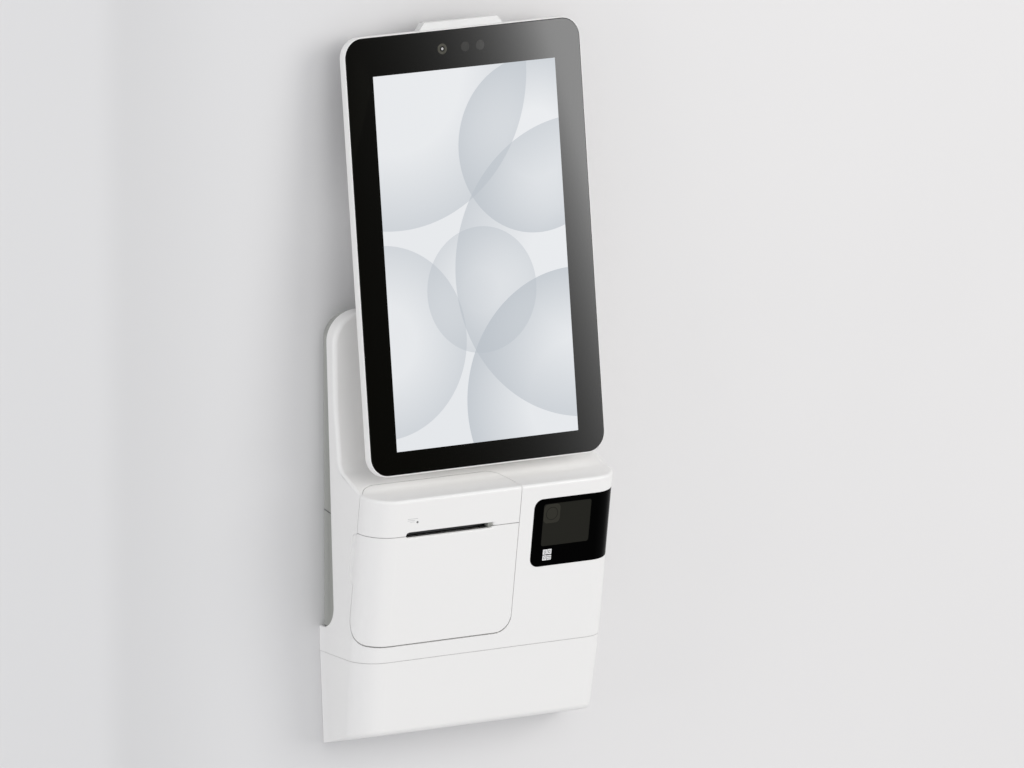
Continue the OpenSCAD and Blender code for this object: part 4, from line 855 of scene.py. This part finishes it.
def screenMaterial():
    s = screenSet
    material, tree, output = nodeTree("screenGlass")
    uv = tree.nodes.new("ShaderNodeUVMap")
    uv.uv_map = "screen"
    split = tree.nodes.new("ShaderNodeSeparateXYZ")
    tree.links.new(uv.outputs["UV"], split.inputs["Vector"])
    u, v = split.outputs["X"], split.outputs["Y"]
    inU = calc(tree, "LESS_THAN", calc(tree, "ABSOLUTE", calc(tree, "SUBTRACT", u, 0.5)), 0.5)
    inV = calc(tree, "LESS_THAN", calc(tree, "ABSOLUTE", calc(tree, "SUBTRACT", v, 0.5)), 0.5)
    lit = calc(tree, "MULTIPLY", inU, inV)
    tall = tabletSet["screen"][1] / tabletSet["screen"][0]
    colour = mixColour(tree, v, s["low"], s["high"])
    for cx, cy, r, fade, strength in s["discs"]:
        dx = calc(tree, "SUBTRACT", u, cx)
        dy = calc(tree, "SUBTRACT", calc(tree, "MULTIPLY", v, tall), cy)
        square = calc(tree, "ADD", calc(tree, "MULTIPLY", dx, dx), calc(tree, "MULTIPLY", dy, dy))
        into = calc(tree, "SUBTRACT", r, calc(tree, "SQRT", square))
        inside = calc(tree, "GREATER_THAN", into, 0.0)
        shade = calc(tree, "SUBTRACT", 1.0, calc(tree, "DIVIDE", into, fade), True)
        factor = calc(tree, "MULTIPLY", calc(tree, "MULTIPLY", inside, shade), strength)
        colour = mixColour(tree, factor, colour, s["shade"])
    place = tree.nodes.new("ShaderNodeTexCoord").outputs["Object"]
    dark = principled(tree, s["border"])
    tree.links.new(grainBump(tree, place, *s["borderGrain"]), dark.inputs["Normal"])
    glow = principled(tree, s["lit"])
    tree.links.new(colour, glow.inputs["Emission Color"])
    mix = tree.nodes.new("ShaderNodeMixShader")
    tree.links.new(lit, mix.inputs["Fac"])
    tree.links.new(dark.outputs["BSDF"], mix.inputs[1])
    tree.links.new(glow.outputs["BSDF"], mix.inputs[2])
    tree.links.new(mix.outputs["Shader"], output.inputs["Surface"])
    return material


glassMesh = stackY([glassRing(*step) for step in s["glassEdge"]])
uvLayer = glassMesh.loops.layers.uv.new("screen")
for face in glassMesh.faces:
    for corner in face.loops:
        co = corner.vert.co
        corner[uvLayer].uv = (co.x / s["screen"][0] + 0.5, co.z / s["screen"][1] + 0.5)
glass = solid(glassMesh, tabletMatrix)
piece("coverGlass", glass, screenMaterial(), "base", ["cover_glass"], angle=s["sharp"], weld=0)

# Discs of the camera and the sensors in the glass, each with its radius and how far it stands out
eyeSet = {"z": 191, "camera": -22, "sensors": (2.4, 18.3), "under": 0.3,
          "ring": (4.9, 0.02), "lens": (2.5, 0.03), "dot": (1.25, 0.04), "sensor": (4.5, 0.02)}
s = eyeSet
eyes = [("cameraRing", ringBrown, s["camera"], *s["ring"]), ("cameraLens", windowBlack, s["camera"], *s["lens"]),
        ("cameraDot", inkGrey, s["camera"], *s["dot"])]
eyes += [("sensor%d" % k, sensorDark, x, *s["sensor"]) for k, x in enumerate(s["sensors"])]
for name, material, x, r, proud in eyes:
    piece(name, solid(alongY(ring(x, s["z"], r), -proud, s["under"]), tabletMatrix), material)

# Status light on top
lightSet = {"base": 209.05, "rise": 7.5, "low": 45, "high": 38.5, "y": (0.8, 9.5), "edge": 1.2, "edgeFrom": 1,
            "edgeSteps": 4}
s = lightSet
base, top = s["base"], s["base"] + s["rise"]
bar = solid(alongY(flat((-s["low"], base), (s["low"], base), (s["high"], top), (-s["high"], top)), *s["y"]))
bevelEdges(bar, lambda e: min(v.co.z for v in e.verts) > base + s["edgeFrom"], s["edge"], s["edgeSteps"])
bar.data.transform(tabletMatrix)
piece("statusLight", bar, lensWhite, "base", ["status_light_lens"])
print("stage: glass and lights")

# Materials of the solids that stay
keepMaterials = {
    "indicator_light": smokeGrey, "rear_cover_lower": greyPlastic, "neck_shroud": whitePlastic,
    "power_button": greyPlastic, "feed_button": greyPlastic, "print_head": darkPlastic, "lcd_panel": darkPlastic,
    "camera_module": darkPlastic, "depth_sensors": darkPlastic, "power_switch": darkPlastic,
    "speakers": darkPlastic, "scanner_frame": darkPlastic, "scan_engine": darkPlastic,
    "power_adapter": darkPlastic, "paper_bucket": darkPlastic, "cutter_drive": darkPlastic,
    "door_magnet": darkSteel, "main_board": boardGreen, "sensor_board": boardGreen,
    "control_board": boardGreen, "feed_switch_board": boardGreen, "platen_sleeve": rubberBlack,
    "cable_grommet": rubberBlack, "platen_bushes": brassMetal, "motor_pinion": brassMetal,
    "platen_gear": gearPlastic, "idler_gear": gearPlastic,
}
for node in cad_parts:
    obj = bpy.data.objects.get(node)
    if obj and obj.type == "MESH":
        obj.data.materials.clear()
        obj.data.materials.append(keepMaterials.get(node, steelSheet))
print("stage: kept solids")

# Wall, clear when seen from behind, and letting light through to what lies close to it; its colour holds painted
# shade
wallSet = {"left": (0.70, 0.70, 0.705), "right": (0.765, 0.757, 0.755), "from": -0.35, "to": 0.35,
           "shadeBand": -0.35, "shadeBandSoft": 0.02, "shadeBandEnd": -0.2, "shadeBandShade": 0.075, "mottle": 3.0, "mottleShade": 0.03,
           "roughness": 0.85, "close": 0.012, "x": (-2.5, 2.5), "y": 0.0006, "z": (-1.5, 1.8)}
s = wallSet
wallMaterial, wallTree, wallOutput = nodeTree("wallPaint")
wallPlace = wallTree.nodes.new("ShaderNodeTexCoord").outputs["Object"]
wallBody = principled(wallTree, {"Roughness": s["roughness"]})
wallSplit = wallTree.nodes.new("ShaderNodeSeparateXYZ")
wallTree.links.new(wallPlace, wallSplit.inputs["Vector"])


def wallRamp(start, end):
    ramp = wallTree.nodes.new("ShaderNodeMapRange")
    ramp.interpolation_type = "SMOOTHSTEP"
    ramp.inputs["From Min"].default_value = start
    ramp.inputs["From Max"].default_value = end
    wallTree.links.new(wallSplit.outputs["X"], ramp.inputs["Value"])
    return ramp.outputs["Result"]


# Painted shade: the wall's colour darkens towards the left, and a painted shade band begins sharply at X = -0.35 and
# fades out by X = -0.2
wallTone = mixColour(wallTree, wallRamp(s["from"], s["to"]), s["left"], s["right"])
shadeBandStart = wallRamp(s["shadeBand"] - s["shadeBandSoft"], s["shadeBand"] + s["shadeBandSoft"])
shadeBand = calc(wallTree, "SUBTRACT", shadeBandStart, wallRamp(s["shadeBand"], s["shadeBandEnd"]), True)
mottle = calc(wallTree, "MULTIPLY", noise(wallTree, wallPlace, s["mottle"]), s["mottleShade"])
shadeBy = calc(wallTree, "ADD", calc(wallTree, "MULTIPLY", shadeBand, s["shadeBandShade"]), mottle)
wallTree.links.new(mixColour(wallTree, shadeBy, wallTone, (0.0, 0.0, 0.0)), wallBody.inputs["Base Color"])
clear = wallTree.nodes.new("ShaderNodeBsdfTransparent")
backing = wallTree.nodes.new("ShaderNodeNewGeometry")
wallMix = wallTree.nodes.new("ShaderNodeMixShader")
path = wallTree.nodes.new("ShaderNodeLightPath").outputs
close = calc(wallTree, "LESS_THAN", path["Ray Length"], s["close"])
bounced = calc(wallTree, "MAXIMUM", path["Is Diffuse Ray"], path["Is Glossy Ray"])
onward = calc(wallTree, "MULTIPLY", close, calc(wallTree, "MAXIMUM", path["Is Shadow Ray"], bounced))
wallTree.links.new(calc(wallTree, "MAXIMUM", backing.outputs["Backfacing"], onward), wallMix.inputs["Fac"])
wallTree.links.new(wallBody.outputs["BSDF"], wallMix.inputs[1])
wallTree.links.new(clear.outputs["BSDF"], wallMix.inputs[2])
wallTree.links.new(wallMix.outputs["Shader"], wallOutput.inputs["Surface"])
wallBm = bmesh.new()
wallBm.faces.new([wallBm.verts.new((p.x, s["y"], p.y)) for p in rectangle(*s["x"], *s["z"])])
wallObj = solid(wallBm)
wallObj.name = "wall"
wallObj.data.materials.append(wallMaterial)

# Lamps: a large soft one on the right, weaker ones on the left and in front, faint ones under and behind the tablet
lampsSet = {
    "key": {"place": (2.8, -3.6, 1.3), "at": (0, -0.05, 0.1), "size": (3.2, 3.2), "power": 66,
            "colour": (1.0, 0.985, 0.955), "gloss": False},
    "side": {"place": (-3.2, -0.7, 0.3), "at": (0, -0.05, 0.05), "size": (2.0, 2.0), "power": 19,
             "colour": (0.985, 0.99, 1.0), "gloss": True},
    "front": {"place": (-0.3, -4.6, 1.8), "at": (0, -0.05, 0.1), "size": (3.0, 3.0), "power": 40,
              "colour": (1.0, 0.99, 0.97), "gloss": False},
    "under": {"place": (0, -0.072, -0.001), "at": (0, -0.066, -0.1), "size": (0.24, 0.024), "power": 0.0042,
              "colour": (1.0, 0.99, 0.97), "gloss": False},
    "behind": {"place": (-0.11, -0.044, 0.285), "at": (-0.125, 0, 0.285), "size": (0.03, 0.2), "power": 0.008,
               "colour": (1.0, 1.0, 1.0), "gloss": False},
}
for name, s in lampsSet.items():
    data = bpy.data.lights.new(name, "AREA")
    data.shape = "ELLIPSE"
    data.size, data.size_y = s["size"]
    data.energy = s["power"]
    data.color = s["colour"]
    lamp = bpy.data.objects.new(name, data)
    lamp.location = s["place"]
    lamp.visible_camera = False
    lamp.visible_glossy = s["gloss"]
    lamp.rotation_euler = (Vector(s["at"]) - Vector(s["place"])).to_track_quat("-Z", "Y").to_euler()
    scene.collection.objects.link(lamp)

# A pale room, one side of which is dark to gloss
roomSet = {"colour": (0.97, 0.975, 1.0), "strength": 0.69, "dark": 0.02, "side": (0.505, -0.86, 0.03),
           "inner": 14, "outer": 38}
s = roomSet
world = bpy.data.worlds.new("room")
world.use_nodes = True
roomTree = world.node_tree
towards = roomTree.nodes.new("ShaderNodeVectorMath")
towards.operation = "DOT_PRODUCT"
towards.inputs[1].default_value = s["side"]
roomTree.links.new(roomTree.nodes.new("ShaderNodeTexCoord").outputs["Generated"], towards.inputs[0])
fade = roomTree.nodes.new("ShaderNodeMapRange")
fade.interpolation_type = "SMOOTHSTEP"
fade.inputs["From Min"].default_value = math.cos(math.radians(s["outer"]))
fade.inputs["From Max"].default_value = math.cos(math.radians(s["inner"]))
fade.inputs["To Max"].default_value = s["strength"] - s["dark"]
roomTree.links.new(towards.outputs["Value"], fade.inputs["Value"])
gloss = roomTree.nodes.new("ShaderNodeLightPath").outputs["Is Glossy Ray"]
glow = calc(roomTree, "SUBTRACT", s["strength"], calc(roomTree, "MULTIPLY", fade.outputs["Result"], gloss))
room = roomTree.nodes["Background"]
room.inputs["Color"].default_value = (*s["colour"], 1)
roomTree.links.new(glow, room.inputs["Strength"])
scene.world = world

# A card that only gloss sees, in place of the key lamp: its light grows to the upper right
cardSet = {"from": (0, -0.065, 0.2), "towards": (0.5057, -0.8625, 0.0088), "far": 1.6, "wide": 1.0, "tall": 1.1,
           "level": 0.29, "growth": 0.045, "slant": 0.16, "most": 6.2}
s = cardSet
cardMaterial, cardTree, cardOutput = nodeTree("reflectionCard")
cardUv = cardTree.nodes.new("ShaderNodeUVMap")
cardUv.uv_map = "card"
cardSplit = cardTree.nodes.new("ShaderNodeSeparateXYZ")
cardTree.links.new(cardUv.outputs["UV"], cardSplit.inputs["Vector"])
slanted = calc(cardTree, "MULTIPLY", cardSplit.outputs["Y"], s["slant"])
along = calc(cardTree, "ADD", cardSplit.outputs["X"], slanted)
growth = calc(cardTree, "EXPONENT", calc(cardTree, "DIVIDE", along, s["growth"]))
level = calc(cardTree, "MULTIPLY", growth, s["level"])
cardGlow = cardTree.nodes.new("ShaderNodeEmission")
cardTree.links.new(calc(cardTree, "MINIMUM", level, s["most"]), cardGlow.inputs["Strength"])
cardTree.links.new(cardGlow.outputs["Emission"], cardOutput.inputs["Surface"])
outward = Vector(s["towards"]).normalized()
rightward = Vector((0, 0, 1)).cross(outward).normalized()
cardBm = bmesh.new()
cardLayer = cardBm.loops.layers.uv.new("card")
corners = rectangle(-s["wide"] / 2, s["wide"] / 2, -s["tall"] / 2, s["tall"] / 2)
centre = Vector(s["from"]) + outward * s["far"]
cardFace = cardBm.faces.new([cardBm.verts.new(centre + rightward * u + Vector((0, 0, v))) for u, v in corners])
for corner, uv in zip(cardFace.loops, corners):
    corner[cardLayer].uv = uv
card = solid(cardBm)
card.name = "card"
card.data.materials.append(cardMaterial)
card.visible_camera = card.visible_diffuse = card.visible_shadow = card.visible_transmission = False
print("stage: light")
